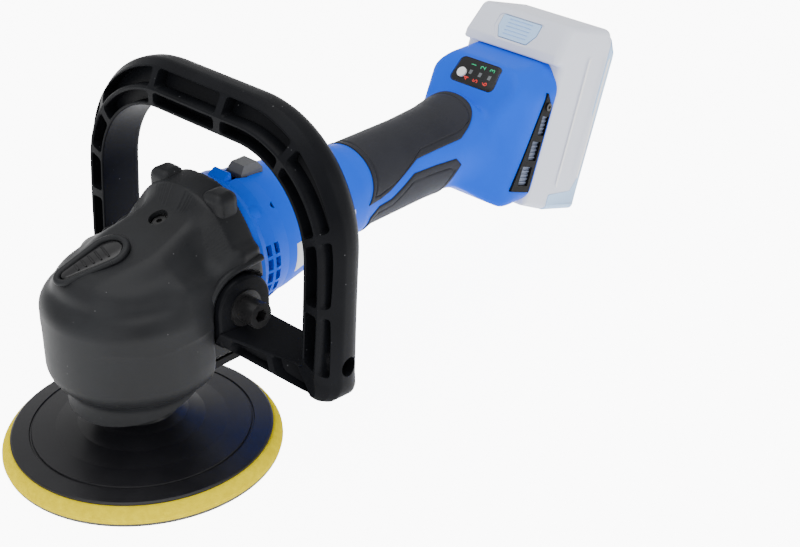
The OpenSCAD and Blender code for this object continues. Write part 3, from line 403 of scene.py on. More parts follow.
def smooth_path(points: list, n: int) -> Array:
    """Even points on a Catmull-Rom curve through the given ones, each piece a cubic of its four neighbours.

    Args:
        points: points to pass through.
        n: points wanted.

    Returns:
        Points, shape (n, dimensions).
    """
    p = np.array(points, float)
    q = np.concatenate([2 * p[:1] - p[1:2], p, 2 * p[-1:] - p[-2:-1]])
    t = np.linspace(0, len(p) - 1 - 1e-9, n * 8)
    k = t.astype(int)
    f = (t - k)[:, None]
    a, b, c, d = q[k], q[k + 1], q[k + 2], q[k + 3]
    curve = 0.5 * (2 * b + (c - a) * f + (2 * a - 5 * b + 4 * c - d) * f**2 + (3 * b - 3 * c + d - a) * f**3)
    s = np.concatenate([[0], np.cumsum(np.linalg.norm(np.diff(curve, axis=0), axis=1))])
    even = np.linspace(0, s[-1], n)
    return np.stack([np.interp(even, s, curve[:, i]) for i in range(p.shape[1])], -1)


def combine(obj: Piece, operation: str, *tools: Piece) -> None:
    """Applies closed tool shapes to a piece and removes them.

    Args:
        obj: the piece.
        operation: "DIFFERENCE" takes the tools away, and "INTERSECT" keeps what lies inside them.
        tools: closed shapes.
    """
    for tool in tools:
        mod = obj.modifiers.new("combine", "BOOLEAN")
        mod.operation, mod.solver, mod.object = operation, "MANIFOLD", tool
    deps = bpy.context.evaluated_depsgraph_get()
    new = bpy.data.meshes.new_from_object(obj.evaluated_get(deps))
    old = obj.data
    obj.modifiers.clear()
    obj.data = new
    bpy.data.meshes.remove(old)
    for tool in tools:
        bpy.data.objects.remove(tool)
    new.shade_smooth()
    new.set_sharp_from_angle(angle=math.radians(38))


def cut(obj: Piece, *tools: Piece) -> None:
    """Takes closed tool shapes out of a piece and removes them."""
    combine(obj, "DIFFERENCE", *tools)


def join(name: str, *parts: Piece) -> Piece:
    """One object made of several, with their materials kept.

    Args:
        name: name of the new object.
        parts: objects to join, which are removed.

    Returns:
        The new object.
    """
    with bpy.context.temp_override(active_object=parts[0], selected_editable_objects=list(parts)):
        bpy.ops.object.join()
    parts[0].name = name
    parts[0].data.name = name
    return parts[0]


# ---------------------------------------------------------------- finishes
def add_node(tree: Tree, kind: str, values: dict | None = None, **settings: str) -> bpy.types.Node:
    """Shader node with its input values and its own settings.

    Args:
        tree: node tree.
        kind: the node's type, such as "Math".
        values: input values, by input name or number.
        settings: the node's settings, such as its operation.

    Returns:
        The new node.
    """
    node = tree.nodes.new("ShaderNode" + kind)
    for label, value in settings.items():
        setattr(node, label, value)
    for label, value in (values or {}).items():
        node.inputs[label].default_value = value
    return node


def new_group(name: str, inputs: tuple, outputs: tuple) -> tuple:
    """Empty shader group with sockets.

    Args:
        name: group name.
        inputs: pairs of socket name and kind.
        outputs: pairs of socket name and kind.

    Returns:
        The group, its input node and its output node.
    """
    tree = bpy.data.node_groups.new(name, "ShaderNodeTree")
    for label, kind in inputs:
        tree.interface.new_socket(label, in_out="INPUT", socket_type="NodeSocket" + kind)
    for label, kind in outputs:
        tree.interface.new_socket(label, in_out="OUTPUT", socket_type="NodeSocket" + kind)
    return tree, tree.nodes.new("NodeGroupInput"), tree.nodes.new("NodeGroupOutput")


def noise(tree: Tree, vector: Socket, scale: float | Socket, detail: float, rough: float) -> Socket:
    """Noise fed by a vector socket and by a scale that is a number or a socket.

    Args:
        tree: node tree.
        vector: output socket for its vector.
        scale: number or output socket.
        detail: octaves.
        rough: strength of the finer octaves.

    Returns:
        The node's value output.
    """
    node = add_node(tree, "TexNoise", {"Detail": detail, "Roughness": rough})
    tree.links.new(vector, node.inputs["Vector"])
    if isinstance(scale, float):
        node.inputs["Scale"].default_value = scale
    else:
        tree.links.new(scale, node.inputs["Scale"])
    return node.outputs[0]


def grain_group() -> Tree:
    """Moulded or cast surface: Grain is a fine noise, Cloud a broad one, and Specks a few bright dots of dust."""
    tree, given, put = new_group(
        "surface_grain",
        (("Vector", "Vector"), ("Grain Scale", "Float"), ("Cloud Scale", "Float"), ("Speck Scale", "Float")),
        (("Grain", "Float"), ("Cloud", "Float"), ("Specks", "Float")),
    )
    link, vector = tree.links.new, given.outputs["Vector"]
    fine = noise(tree, vector, given.outputs["Grain Scale"], 4.0, 0.6)
    cloud = noise(tree, vector, given.outputs["Cloud Scale"], 3.0, 0.5)
    dots = add_node(tree, "TexVoronoi")
    near = add_node(tree, "MapRange", {"From Min": 0.1, "From Max": 0.04})
    colour = add_node(tree, "SeparateColor")
    rare = add_node(tree, "Math", {1: 0.86}, operation="GREATER_THAN")
    both = add_node(tree, "Math", operation="MULTIPLY")
    link(vector, dots.inputs["Vector"])
    link(given.outputs["Speck Scale"], dots.inputs["Scale"])
    link(dots.outputs["Distance"], near.inputs["Value"])
    link(dots.outputs["Color"], colour.inputs[0])
    link(colour.outputs[0], rare.inputs[0])
    link(near.outputs[0], both.inputs[0])
    link(rare.outputs[0], both.inputs[1])
    for label, out in (("Grain", fine), ("Cloud", cloud), ("Specks", both.outputs[0])):
        link(out, put.inputs[label])
    return tree


def brushed_group() -> Tree:
    """Turned or drawn metal: Lines is a noise stretched round the Z or along the X direction by the Stretch vector."""
    tree, given, put = new_group("drawn_lines", (("Vector", "Vector"), ("Stretch", "Vector")), (("Lines", "Float"),))
    stretched = add_node(tree, "VectorMath", operation="MULTIPLY")
    tree.links.new(given.outputs["Vector"], stretched.inputs[0])
    tree.links.new(given.outputs["Stretch"], stretched.inputs[1])
    tree.links.new(noise(tree, stretched.outputs[0], 1.0, 2.0, 0.6), put.inputs["Lines"])
    return tree


@dataclass(frozen=True)
class Finish:
    """A moulded, cast, painted or drawn finish: two near colours, a range of roughness, a grain and a little dust."""

    name: str
    dark: tuple
    light: tuple
    rough: tuple = (0.4, 0.5)
    metal: float = 0.0
    grain: float = 2600.0
    depth: float = 0.12
    cloud: float = 35.0
    specks: float = 260.0
    dust: float = 0.0
    coat: float = 0.0
    sheen: float = 0.0
    level: float = 0.5
    stretch: tuple = ()

    def build(self) -> bpy.types.Material:
        """Makes the material.

        Returns:
            The new material.
        """
        mat = bpy.data.materials.new("finish_" + self.name)
        mat.use_nodes = True
        tree, link = mat.node_tree, mat.node_tree.links.new
        bsdf = tree.nodes["Principled BSDF"]
        plain = {"Metallic": self.metal, "Coat Weight": self.coat, "Coat Roughness": 0.12, "Sheen Weight": self.sheen,
                 "Specular IOR Level": self.level}
        for label, value in plain.items():
            bsdf.inputs[label].default_value = value
        where = add_node(tree, "TexCoord").outputs["Object"]
        grain = add_node(tree, "Group")
        grain.node_tree = bpy.data.node_groups.get("surface_grain") or grain_group()
        link(where, grain.inputs["Vector"])
        for label, value in (("Grain Scale", self.grain), ("Cloud Scale", self.cloud), ("Speck Scale", self.specks)):
            grain.inputs[label].default_value = value
        height, cloud = grain.outputs["Grain"], grain.outputs["Cloud"]
        if self.stretch:
            lines = add_node(tree, "Group")
            lines.node_tree = bpy.data.node_groups.get("drawn_lines") or brushed_group()
            lines.inputs["Stretch"].default_value = self.stretch
            link(where, lines.inputs["Vector"])
            height = lines.outputs["Lines"]
        tint = self.tint(tree, cloud)
        if self.dust > 0:
            power = add_node(tree, "Math", {1: self.dust}, operation="MULTIPLY")
            dusty = add_node(tree, "Mix", {7: (0.42, 0.42, 0.44, 1)}, data_type="RGBA")
            link(grain.outputs["Specks"], power.inputs[0])
            link(power.outputs[0], dusty.inputs[0])
            link(tint, dusty.inputs[6])
            tint = dusty.outputs[2]
        smooth, rough = self.rough
        wear = add_node(tree, "MapRange", {"From Min": 0.3, "From Max": 0.7, "To Min": smooth, "To Max": rough})
        bump = add_node(tree, "Bump", {"Strength": self.depth, "Distance": 0.0006})
        link(height if self.stretch else cloud, wear.inputs["Value"])
        link(height, bump.inputs["Height"])
        for out, label in ((tint, "Base Color"), (wear.outputs[0], "Roughness"), (bump.outputs[0], "Normal")):
            link(out, bsdf.inputs[label])
        return mat

    def tint(self, tree: Tree, mask: Socket) -> Socket:
        """Colour between the finish's two by a mask, stretched first from its middle part to its whole range.

        Args:
            tree: node tree.
            mask: mask socket.

        Returns:
            Colour output socket.
        """
        span = add_node(tree, "MapRange", {"From Min": 0.3, "From Max": 0.7})
        mix = add_node(tree, "Mix", {6: (*self.dark, 1), 7: (*self.light, 1)}, data_type="RGBA")
        tree.links.new(mask, span.inputs["Value"])
        tree.links.new(span.outputs[0], mix.inputs[0])
        return mix.outputs[2]


class Look(Enum):
    """The finishes of the polisher's pieces."""

    BOOT = Finish(
        "boot_rubber", (0.008, 0.0085, 0.0098), (0.0135, 0.0145, 0.0165), 
        (0.42, 0.55), depth=0.1, dust=0.2, level=0.2)
    HANDLE = Finish(
        "handle_nylon", (0.004, 0.0043, 0.0055), (0.007, 0.0075, 0.0092), 
        (0.34, 0.44), depth=0.1, dust=0.25, level=0.06)
    BLACK = Finish("black_nylon", (0.004, 0.004, 0.005), (0.007, 0.007, 0.008), (0.4, 0.5), depth=0.1, level=0.08)
    GLOSS = Finish("gloss_black", (0.003, 0.003, 0.004), (0.005, 0.005, 0.006), (0.2, 0.28), depth=0.02, level=0.4)
    BLUE = Finish(
        "blue_shell", (0.0, 0.082, 0.7), (0.0, 0.094, 0.78), 
        (0.3, 0.4), depth=0.05, grain=1800, cloud=22, level=0.06)
    GRIP = Finish(
        "grip_rubber", (0.012, 0.0128, 0.0175), (0.019, 0.02, 0.027), 
        (0.48, 0.6), depth=0.28, grain=2000, level=0.2)
    PAD = Finish("pad_plastic", (0.006, 0.006, 0.0075), (0.009, 0.009, 0.011), (0.28, 0.4), depth=0.06, level=0.3)
    FOAM = Finish(
        "yellow_foam", (0.68, 0.53, 0.0), (0.8, 0.64, 0.0), 
        (0.75, 0.9), depth=0.5, grain=900, cloud=300, level=0.0)
    HOOK = Finish("hook_layer", (0.03, 0.03, 0.03), (0.07, 0.07, 0.07), (0.85, 0.95), depth=1.0, grain=1500, sheen=0.4)
    STEEL = Finish(
        "turned_steel", (0.5, 0.5, 0.51), (0.62, 0.62, 0.62), 
        (0.22, 0.42), 1.0, stretch=(300.0, 300.0, 5200.0), depth=0.12)
    GEAR = Finish("ground_gear_steel", (0.3, 0.3, 0.31), (0.42, 0.42, 0.42), (0.3, 0.45), 1.0, depth=0.1)
    BOLT = Finish(
        "blackened_steel", (0.012, 0.012, 0.013), (0.022, 0.022, 0.023), 
        (0.26, 0.4), 0.45, depth=0.06, coat=0.15)
    CAST = Finish("cast_aluminium", (0.42, 0.43, 0.44), (0.55, 0.55, 0.56), (0.42, 0.6), 1.0, depth=0.5, grain=1200)
    LAMINATE = Finish(
        "steel_laminations", (0.1, 0.1, 0.11), (0.2, 0.2, 0.21), 
        (0.4, 0.6), 0.9, stretch=(2600.0, 20.0, 20.0), depth=0.7)
    COPPER = Finish(
        "enamelled_copper", (0.5, 0.17, 0.05), (0.72, 0.3, 0.1), 
        (0.25, 0.4), 0.9, stretch=(30.0, 1900.0, 1900.0), depth=0.8)
    BOARD = Finish("green_board", (0.006, 0.06, 0.025), (0.012, 0.1, 0.04), (0.25, 0.35), grain=600, depth=0.05)
    WHITE = Finish("white_button", (0.74, 0.75, 0.76), (0.82, 0.82, 0.83), (0.28, 0.36), depth=0.04)
    PAPER = Finish("label_film", (0.66, 0.68, 0.71), (0.72, 0.74, 0.77), (0.3, 0.4), depth=0.02)
    SLIDER = Finish("slider_grey", (0.055, 0.058, 0.065), (0.075, 0.078, 0.085), (0.4, 0.5), depth=0.15)
    LENS = Finish("lamp_lens", (0.09, 0.1, 0.11), (0.13, 0.14, 0.15), (0.12, 0.2), depth=0.0, coat=0.5)
    GREEN = Finish("green_ink", (0.0, 0.42, 0.16), (0.0, 0.48, 0.2), (0.4, 0.5), depth=0.0)
    RED = Finish("red_ink", (0.72, 0.02, 0.015), (0.8, 0.03, 0.02), (0.4, 0.5), depth=0.0)
    CASE = Finish("pack_grey", (0.7, 0.73, 0.83), (0.74, 0.77, 0.87), (0.4, 0.5), depth=0.08, cloud=18, level=0.2)
    TRIM = Finish("pack_blue", (0.44, 0.66, 0.96), (0.48, 0.7, 0.99), (0.4, 0.5), depth=0.08, cloud=18, level=0.2)
    STRIPE = Finish("white_stripe", (0.86, 0.87, 0.9), (0.9, 0.91, 0.93), (0.4, 0.5), depth=0.0)
    GRILLE = Finish("grille_mesh", (0.09, 0.11, 0.17), (0.16, 0.19, 0.28), (0.35, 0.5), 0.2, depth=0.3)
    CELL = Finish("cell_wrap", (0.02, 0.18, 0.22), (0.03, 0.24, 0.28), (0.2, 0.3), depth=0.02)

    def material(self) -> bpy.types.Material:
        """The finish's material, made the first time it is asked for."""
        return bpy.data.materials.get("finish_" + self.value.name) or self.value.build()


def dress(obj: Piece, look: Look, body: str, slot: str, *stands_for: str) -> Piece:
    """Gives a new piece its material and body, and hides the CAD nodes that it stands for.

    Args:
        obj: the piece.
        look: its finish.
        body: the body that it rides on.
        slot: not used.
        stands_for: CAD nodes that it replaces.

    Returns:
        The piece.
    """
    obj.data.materials.clear()
    obj.data.materials.append(look.material())
    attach(obj, body)
    if stands_for:
        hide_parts(*stands_for)
    LOG.info("%s: %d faces on %s", obj.name, len(obj.data.polygons), body)
    return obj


# ---------------------------------------------------------------- D-handle
@dataclass
class Handle:
    """The D-handle: a section carried from ear to ear through an inner and an outer line, with pockets in its front."""

    half: float = 99.5
    leg: float = 19.0
    bar: float = 24.0
    tall: float = 150.0
    corner: float = 68.0
    deep: float = 27.0
    forward: float = 26.0
    ear_back: float = 9.6
    bevel: float = 5.5
    lean: float = math.radians(3.7)
    at: tuple = (41.5, 0.0, 44.0)

    def world(self, x: Array, y: Array, z: Array) -> Array:
        """Points of the row's frame for depth, width and height in the leaning plane."""
        c, s = math.cos(self.lean), math.sin(self.lean)
        return np.stack([self.at[0] + x * c + z * s, y + 0 * x, self.at[2] - x * s + z * c], -1)

    def lines(self) -> dict:
        """Stations along the +Y half and its mirror: inner and outer line, front, back, and how far each is arm or bar.

        Each line is straight up the arm, a quadratic curve at the lower corner, straight up the leg, an arc of the
        corner radius, and straight to the middle of the bar.

        Returns:
            Arrays by name, each with one row for a station, from the +Y ear to the -Y ear.
        """
        w, rise, c = self.half, self.tall - self.corner, self.half - self.corner
        inner_w, inner_t = w - self.leg, self.tall - self.bar
        ri = self.corner - self.leg
        t = lambda n: np.linspace(0, 1, n, endpoint=False)[:, None]
        bend = lambda a, k, b, s: (1 - s) ** 2 * a + 2 * s * (1 - s) * k + s**2 * b
        p = lambda *v: np.array(v, float)
        ang = np.linspace(0, math.pi / 2, 40, endpoint=False)
        quarter = np.stack([np.cos(ang), np.sin(ang)], -1)
        outer = [p(44, 26.9) + (p(87, 4.1) - p(44, 26.9)) * t(22), bend(p(87, 4.1), p(99.5, -2.5), p(w, 12), t(14)),
                 p(w, 12) + p(0, rise - 12) * t(24), p(c, rise) + self.corner * quarter,
                 p(c, self.tall) + p(-c, 0) * t(12)]
        inner = [p(48.5, 34.2) + (p(76.5, 19.6) - p(48.5, 34.2)) * t(22),
                 bend(p(76.5, 19.6), p(inner_w, 17.4), p(inner_w, 22), t(14)),
                 p(inner_w, 22) + p(0, inner_t - ri - 22) * t(24),
                 p(inner_w - ri, inner_t - ri) + ri * quarter,
                 p(inner_w - ri, inner_t) + p(-(inner_w - ri), 0) * t(12)]
        arm = np.concatenate([np.ones(22), 1 - np.linspace(0, 1, 14), np.zeros(76)])
        top = np.concatenate([np.zeros(60), easing(np.linspace(0, 1, 40), 0.15, 1.0), np.ones(12)])
        reach = np.concatenate([1 - np.linspace(0, 1, 22), np.zeros(90)])
        half = {"outer": np.concatenate(outer), "inner": np.concatenate(inner),
                "arm": arm[:, None], "top": top[:, None], "reach": reach[:, None]}
        middle = {"outer": p(0, self.tall), "inner": p(0, inner_t), "arm": p(0), "top": p(1), "reach": p(0)}
        out = {}
        for key, rows in half.items():
            back = rows[::-1].copy()
            if key in ("outer", "inner"):
                back[:, 0] *= -1
            out[key] = np.concatenate([rows, middle[key][None], back])
        return out

    def section(self, k: Array) -> dict:
        """Line positions and section sizes at any stations, numbered from 0, by straight interpolation.

        Args:
            k: station numbers, which may fall between stations.

        Returns:
            Arrays by name: o and i (points), w (thickness), front, back, flat (width of the front flat), crest.
        """
        rows = self.lines()
        n = np.arange(len(rows["arm"]))
        at = {key: np.stack([np.interp(k, n, v[:, c]) for c in range(v.shape[1])], -1) for key, v in rows.items()}
        w = np.linalg.norm(at["outer"] - at["inner"], axis=-1)
        arm, top, reach = at["arm"][..., 0], at["top"][..., 0], at["reach"][..., 0]
        flat = (11.3 - 2.0 * top) * (1 - arm) + (w - 1.4) * arm
        crest = (w - 3.4) * (1 - arm) + (w - 0.7) * arm
        front, back = -self.forward * reach, self.deep + (self.ear_back - self.deep) * reach
        return {"o": at["outer"], "i": at["inner"], "w": w, "arm": arm, "front": front, "flat": flat, "crest": crest,
                "back": back}

    def surface(self, k: Array, n: Array, d: Array) -> Array:
        """Points at stations k, a distance n outwards from the inner line and d behind the front surface.

        The front surface is flat to the ridge, then falls back along the bevel.

        Args:
            k: station numbers.
            n: distances from the inner line.
            d: depths.

        Returns:
            Points of the row's frame.
        """
        s = self.section(k)
        way = (s["o"] - s["i"]) / s["w"][..., None]
        yz = s["i"] + way * n[..., None]
        slope = np.clip((n - s["flat"]) / (s["crest"] - s["flat"]), 0, 1) * self.bevel * (1 - s["arm"])
        return self.world(s["front"] + slope + d, yz[..., 0], yz[..., 1])

    def loop(self) -> Piece:
        """The bow and its arms in one piece, its section a rounded loop of six corners at each station."""
        k = np.arange(len(self.lines()["arm"]), dtype=float)
        s = self.section(k)
        w, f, b, a, m = s["w"], s["front"], s["back"], s["arm"], 1 - s["arm"]
        z = np.zeros_like(w)
        corner = np.stack([np.stack(c, -1) for c in (
            (z, f), (s["flat"], f), (s["crest"], f + self.bevel * m + 0.5 * a), (w, f + 10.5 * m + 3.0 * a),
            (w, b), (z, b))], 1)
        # fillet of each corner on the bow and on the arms
        fillets = ((1.0, 1.0), (0.9, 0.3), (2.4, 0.2), (5.0, 0.5), (12.0, 2.0), (4.0, 2.0))
        radius = np.stack([bow * m + ear * a for bow, ear in fillets], -1)
        loops = rounded_loop(corner, radius, arc=7)
        way = (s["o"] - s["i"]) / w[:, None]
        yz = s["i"][:, None] + way[:, None] * loops[..., :1]
        return skin("handle_bow", self.world(loops[..., 1], yz[..., 0], yz[..., 1]), sharp=50)

    def pocket(self, name: str, k0: float, k1: float, n0: Array, n1: Array, deep: float = 8.0) -> Piece:
        """Cutter for one pocket: a box carried along the stations, its ends rounded and its mouth flared.

        Args:
            name: cutter name.
            k0: first station.
            k1: last station.
            n0: distance of its inner side from the inner line at its two ends.
            n1: distance of its outer side at its two ends.
            deep: depth.

        Returns:
            The cutter.
        """
        k = np.linspace(k0, k1, 41)
        mid = self.surface(k, np.linspace((n0[0] + n1[0]) / 2, (n0[1] + n1[1]) / 2, 41), np.zeros(41))
        s = np.concatenate([[0], np.cumsum(np.linalg.norm(np.diff(mid, axis=0), axis=1))])
        total, r = s[-1], 2.2
        ends = r * (1 - np.cos(np.linspace(0, math.pi / 2, 7)))
        dist = np.concatenate([ends, np.linspace(r, total - r, 22)[1:-1], (total - ends)[::-1]])
        k = np.interp(dist, s, k)
        edge = np.minimum(np.minimum(dist, total - dist), r)
        pinch = r - np.sqrt(np.maximum(r * r - (r - edge) ** 2, 0))
        lo = np.interp(dist, [0, total], n0) + pinch
        hi = np.interp(dist, [0, total], n1) - pinch
        flare = 0.55
        cols = ((lo - flare * 3, -flare * 2), (hi + flare * 3, -flare * 2), (hi, flare), (hi, deep), (lo, deep),
                (lo, flare))
        grid = np.stack([self.surface(k, n, np.full_like(k, d)) for n, d in cols], 1)
        return skin(name, grid, sharp=80)

    def station(self, y: float, z: float) -> float:
        """Number of the station whose middle lies closest to a width and a height over the handle's base."""
        rows = self.lines()
        mid = (rows["outer"] + rows["inner"]) / 2
        fine = np.linspace(0, len(mid) - 1, 4000)
        at = np.stack([np.interp(fine, np.arange(len(mid)), mid[:, c]) for c in (0, 1)], -1)
        return float(fine[np.argmin(np.linalg.norm(at - [y, z], axis=1))])

    def build(self) -> None:
        """Makes the bow with its pockets, the two ears, and dresses them."""
        bow = self.loop()
        stops = [self.station(y, z) for y, z in (
            (90, 24), (90, 60), (90, 86), (84, 115), (37, 138),
            (-16, 138), (-60, 122), (-86, 92), (-90, 54), (-90, 17))]
        cutters = []
        for i, (a, b) in enumerate(zip(stops, stops[1:])):
            gap = 0.9
            ka, kb = a + gap, b - gap
            s = self.section(np.array([ka, kb]))
            cutters.append(self.pocket(f"pocket_in_{i}", ka, kb, np.array([1.9, 1.9]), s["flat"] - 1.5))
            cutters.append(self.pocket(f"pocket_out_{i}", ka, kb, s["flat"] + 1.0, s["crest"] - 0.7))
        for side in (1, -1):
            for i, (y0, y1) in enumerate(((84.0, 69.5), (67.0, 52.0))):
                ks = [self.station(side * y, 12 + (84 - y) * 0.5) for y in (y0, y1)]
                ka, kb = min(ks), max(ks)
                s = self.section(np.array([ka, kb]))
                cutters.append(self.pocket(f"pocket_arm_{side}_{i}", ka, kb, np.array([1.7, 1.7]), s["w"] - 1.7, 6.0))
        cut(bow, *cutters)
        hole = [(INNER, -1), (5.9, -1), (5.2, 0.5), (5.2, 16), (INNER, 16)]
        cut(bow, revolve("key_cut", hole, (59, -99.5, 64), "y", 48))
        dress(bow, Look.HANDLE, "tool_body", "black_plastic", "handle_loop")
        for side, label in ((1, "left"), (-1, "right")):
            place = Place((0, side * 41.0, 0), (-side, 0, 0), (0, 0, 1))
            outline = [(-side * x, z) for x, z in ((18.3, 69.5), (52.7, 69.5), (52.7, 105), (18.3, 105))]
            radii = (4.0, 4.0, 16.0, 16.0)[::-side]
            ear = slab(f"handle_ear_{label}", place, outline, radii, 0, 7.2, 0.5, 1.6, 12)
            bolt = [(INNER, -3), (4.3, -3), (4.3, 12), (INNER, 12)]
            cut(ear, revolve("ear_cut", bolt, (35.5, side * 41, 88), "y" if side > 0 else "-y", 48))
            dress(ear, Look.HANDLE, "tool_body", "black_plastic")


# ---------------------------------------------------------------- rubber boot and lock
@dataclass
class Boot:
    """The rubber boot over the gear housing, seen from one point inside it: one height for each direction."""

    nose: float = 46.5
    bottom: float = 46.0
    slope: float = math.radians(17.0)
    hole: float = 31.8
    wall: float = 2.4
    head: float = 8.0
    tip: float = 3.5
    reach: float = 22.0
    eye: tuple = (4.0, 0.0, 88.0)
    lock: tuple = (-9.07, 3.75)
    turn: float = math.radians(165.0)

    def crest(self, x: Array) -> Array:
        """Height of the saddle's top plane over the working face, which rises towards the flange."""
        return 110.0 + (x + 31.0) * math.tan(self.slope)

    def field(self, p: Array) -> Array:
        """Distance field of the boot: nose, terrace, saddle, cheeks and flange, less the handle's seats."""
        x, y, z = p[..., 0], np.abs(p[..., 1]), p[..., 2]
        r = np.hypot(x, y)
        nose = round_max(round_max(r - self.nose, self.bottom - z, 13.0), z - 100.5, 11.0)
        terrace = round_max(np.hypot(x + 1.5, y) - 36.0, z - 109.5, 7.0)
        nose = blend_min(nose, terrace, 4.5)
        up = (z - self.crest(x)) * math.cos(self.slope)
        wide = 15.5 + 10.5 * easing(x, -30, 6)
        saddle = round_max(round_max(up, (y - wide) * 0.93 + (z - 112.0) * 0.37, 5.0), -30.0 - x, 6.0)
        saddle = np.maximum(saddle, 92.0 - z)
        cheek = soft_box(np.stack([x, y, z], -1), (18.0, 0.0, 83.5), (19.0, 43.0, 25.0), 7.0)
        ring = round_max(np.hypot(y * 0.98, z - 98.0) - 41.6, np.maximum(x - 53.0, 36.0 - x), 2.0)
        ring = blend_min(ring, soft_box(np.stack([x, y, z], -1), (45.5, 0.0, 107.0), (7.4, 43.0, 9.0), 3.0), 3.0)
        out = blend_min(blend_min(nose, cheek, 9.0), saddle, 13.0)
        out = blend_min(out, ring, 15.0)
        arch = np.minimum(np.hypot(x - 35.5, z - 88.0) - 18.6, np.maximum(np.abs(x - 42.0) - 25.1, z - 88.0))
        out = blend_max(out, -np.maximum(arch, 40.9 - y), 1.2)
        out = blend_max(out, -np.maximum(18.6 - x, z - 60.8), 1.0)
        out = np.maximum(out, x - 53.0)
        return out

    def shell(self) -> Piece:
        """The boot as a closed wall: rows of directions from the top round to the spindle's hole and back inside.

        Returns:
            The new object.
        """
        last = math.pi - math.atan2(self.hole, self.eye[2] - self.bottom)
        outer = np.linspace(0.012, last, 250)
        inner = np.linspace(last, 0.012, 40)
        turn = np.linspace(0, 2 * math.pi, 340, endpoint=False)
        rows = []
        for angles, wall in ((outer, 0.0), (inner, self.wall)):
            t = angles[:, None]
            way = np.stack([np.sin(t) * np.cos(turn), np.sin(t) * np.sin(turn), np.cos(t) + 0 * turn], -1)
            eyes = np.broadcast_to(np.array(self.eye), way.shape)
            rows.append(cast(lambda q: self.field(q) + wall, eyes, way, 90.0, 110))
        return skin("boot_shell", np.concatenate(rows), sharp=50)

    def outline(self, grow: float, n: int = 20) -> Array:
        """Lock outline: two arcs joined by their tangents, grown all round, as places seen from above."""
        lean = math.asin((self.head - self.tip) / self.reach)
        a = np.linspace(math.pi / 2 - lean, 3 * math.pi / 2 + lean, n * 2)
        b = np.linspace(-math.pi / 2 + lean, math.pi / 2 - lean, n)
        big = (self.head + grow) * np.stack([np.cos(a), np.sin(a)], -1)
        tip = (self.tip + grow) * np.stack([np.cos(b), np.sin(b)], -1) + [self.reach, 0.0]
        loop = np.concatenate([big, tip])
        c, s = math.cos(self.turn), math.sin(self.turn)
        return loop @ np.array([[c, s], [-s, c]]) + self.lock

    def sloped(self, loop: Array, above: Array) -> Array:
        """Points over an outline, a height above the saddle's top plane plus 1.6."""
        z = self.crest(loop[..., 0]) + 1.6 + above
        return np.concatenate([loop, np.broadcast_to(z, loop.shape[:-1])[..., None]], -1)

    def build(self) -> None:
        """Makes the boot, its lips, the bezel of the lock, the button, and dresses them."""
        boot = self.shell()
        pit = skin("pit", np.stack([self.sloped(self.outline(0.5), h) for h in (-9.0, 12.0)]), sharp=60)
        hole = revolve("hole", [(INNER, -1.5), (4.6, -1.5), (4.9, 3.0), (7.0, 12), (INNER, 12)], (0, 0, 0), "z", 40)
        c, s = math.cos(self.slope), math.sin(self.slope)
        height = (self.crest(24.0) - 4.5) / 1000
        hole.data.transform(Matrix(((c, 0, -s, 0.024), (0, 1, 0, 0.002), (s, 0, c, height), (0, 0, 0, 1))))
        cut(boot, pit, hole)
        pieces = [boot]
        loop = self.outline(1.9, 30)
        rise = 0.1 + 0.9 * easing(np.linalg.norm(loop - loop[75], axis=1), 2, 22)  # 75: middle of the tip's arc
        closed = np.concatenate([self.sloped(loop, -0.7 + rise), self.sloped(loop[:1], -0.7 + rise[:1])])
        pieces.append(tube("bezel", closed, 2.0, 12, 0.9))
        for s in (1, -1):
            place = Place((45.2, s * 21.0, 118.0), (1, 0, 0), (0, 1, 0))
            pieces.append(slab(f"bump_{s}", place, oblong(-7.6, -7.6, 7.6, 7.6), 4.8, 0, 23.6, 0, 4.8, 8))
            path = [(16.6, 43.2, 61.2), (16.6, 43.6, 75), (16.8, 43.9, 88), (18.6, 44.1, 97), (24, 44.3, 103.6),
                    (31.5, 44.5, 107.2), (42, 44.6, 108.4), (52.4, 44.6, 109)]
            lip = smooth_path([(x, s * (y - 1.3), z) for x, y, z in path], 60)
            pieces.append(tube(f"lip_{s}", lip, 1.9, 10, 1.0, (0, s, 0.01)))
        dress(join("gear_boot_rubber", *pieces), Look.BOOT, "tool_body", "boot_rubber", "gear_boot")
        self.button()

    def button(self) -> None:
        """The lock button: a prism on the sloped outline with five finger ridges across its top."""
        grids = [self.sloped(self.outline(g), h) for g, h in ((-0.2, -3.3), (-0.2, 0.1), (-0.5, 0.55), (-1.1, 0.8))]
        body = skin("lock_body", np.stack(grids), sharp=40)
        pieces = [body]
        c, s = math.cos(self.turn), math.sin(self.turn)
        for i in range(5):
            d = 1.0 + 3.9 * i
            half = 5.2 - 0.62 * i
            ends = np.array([[d, -half], [d, 0.0], [d, half]]) @ np.array([[c, s], [-s, c]]) + self.lock
            pieces.append(tube(f"ridge_{i}", smooth_path(self.sloped(ends, 0.75), 9), 0.62, 8))
        dress(join("lock_button_cap", *pieces), Look.GLOSS, "lock", "gloss_black", "lock_button")


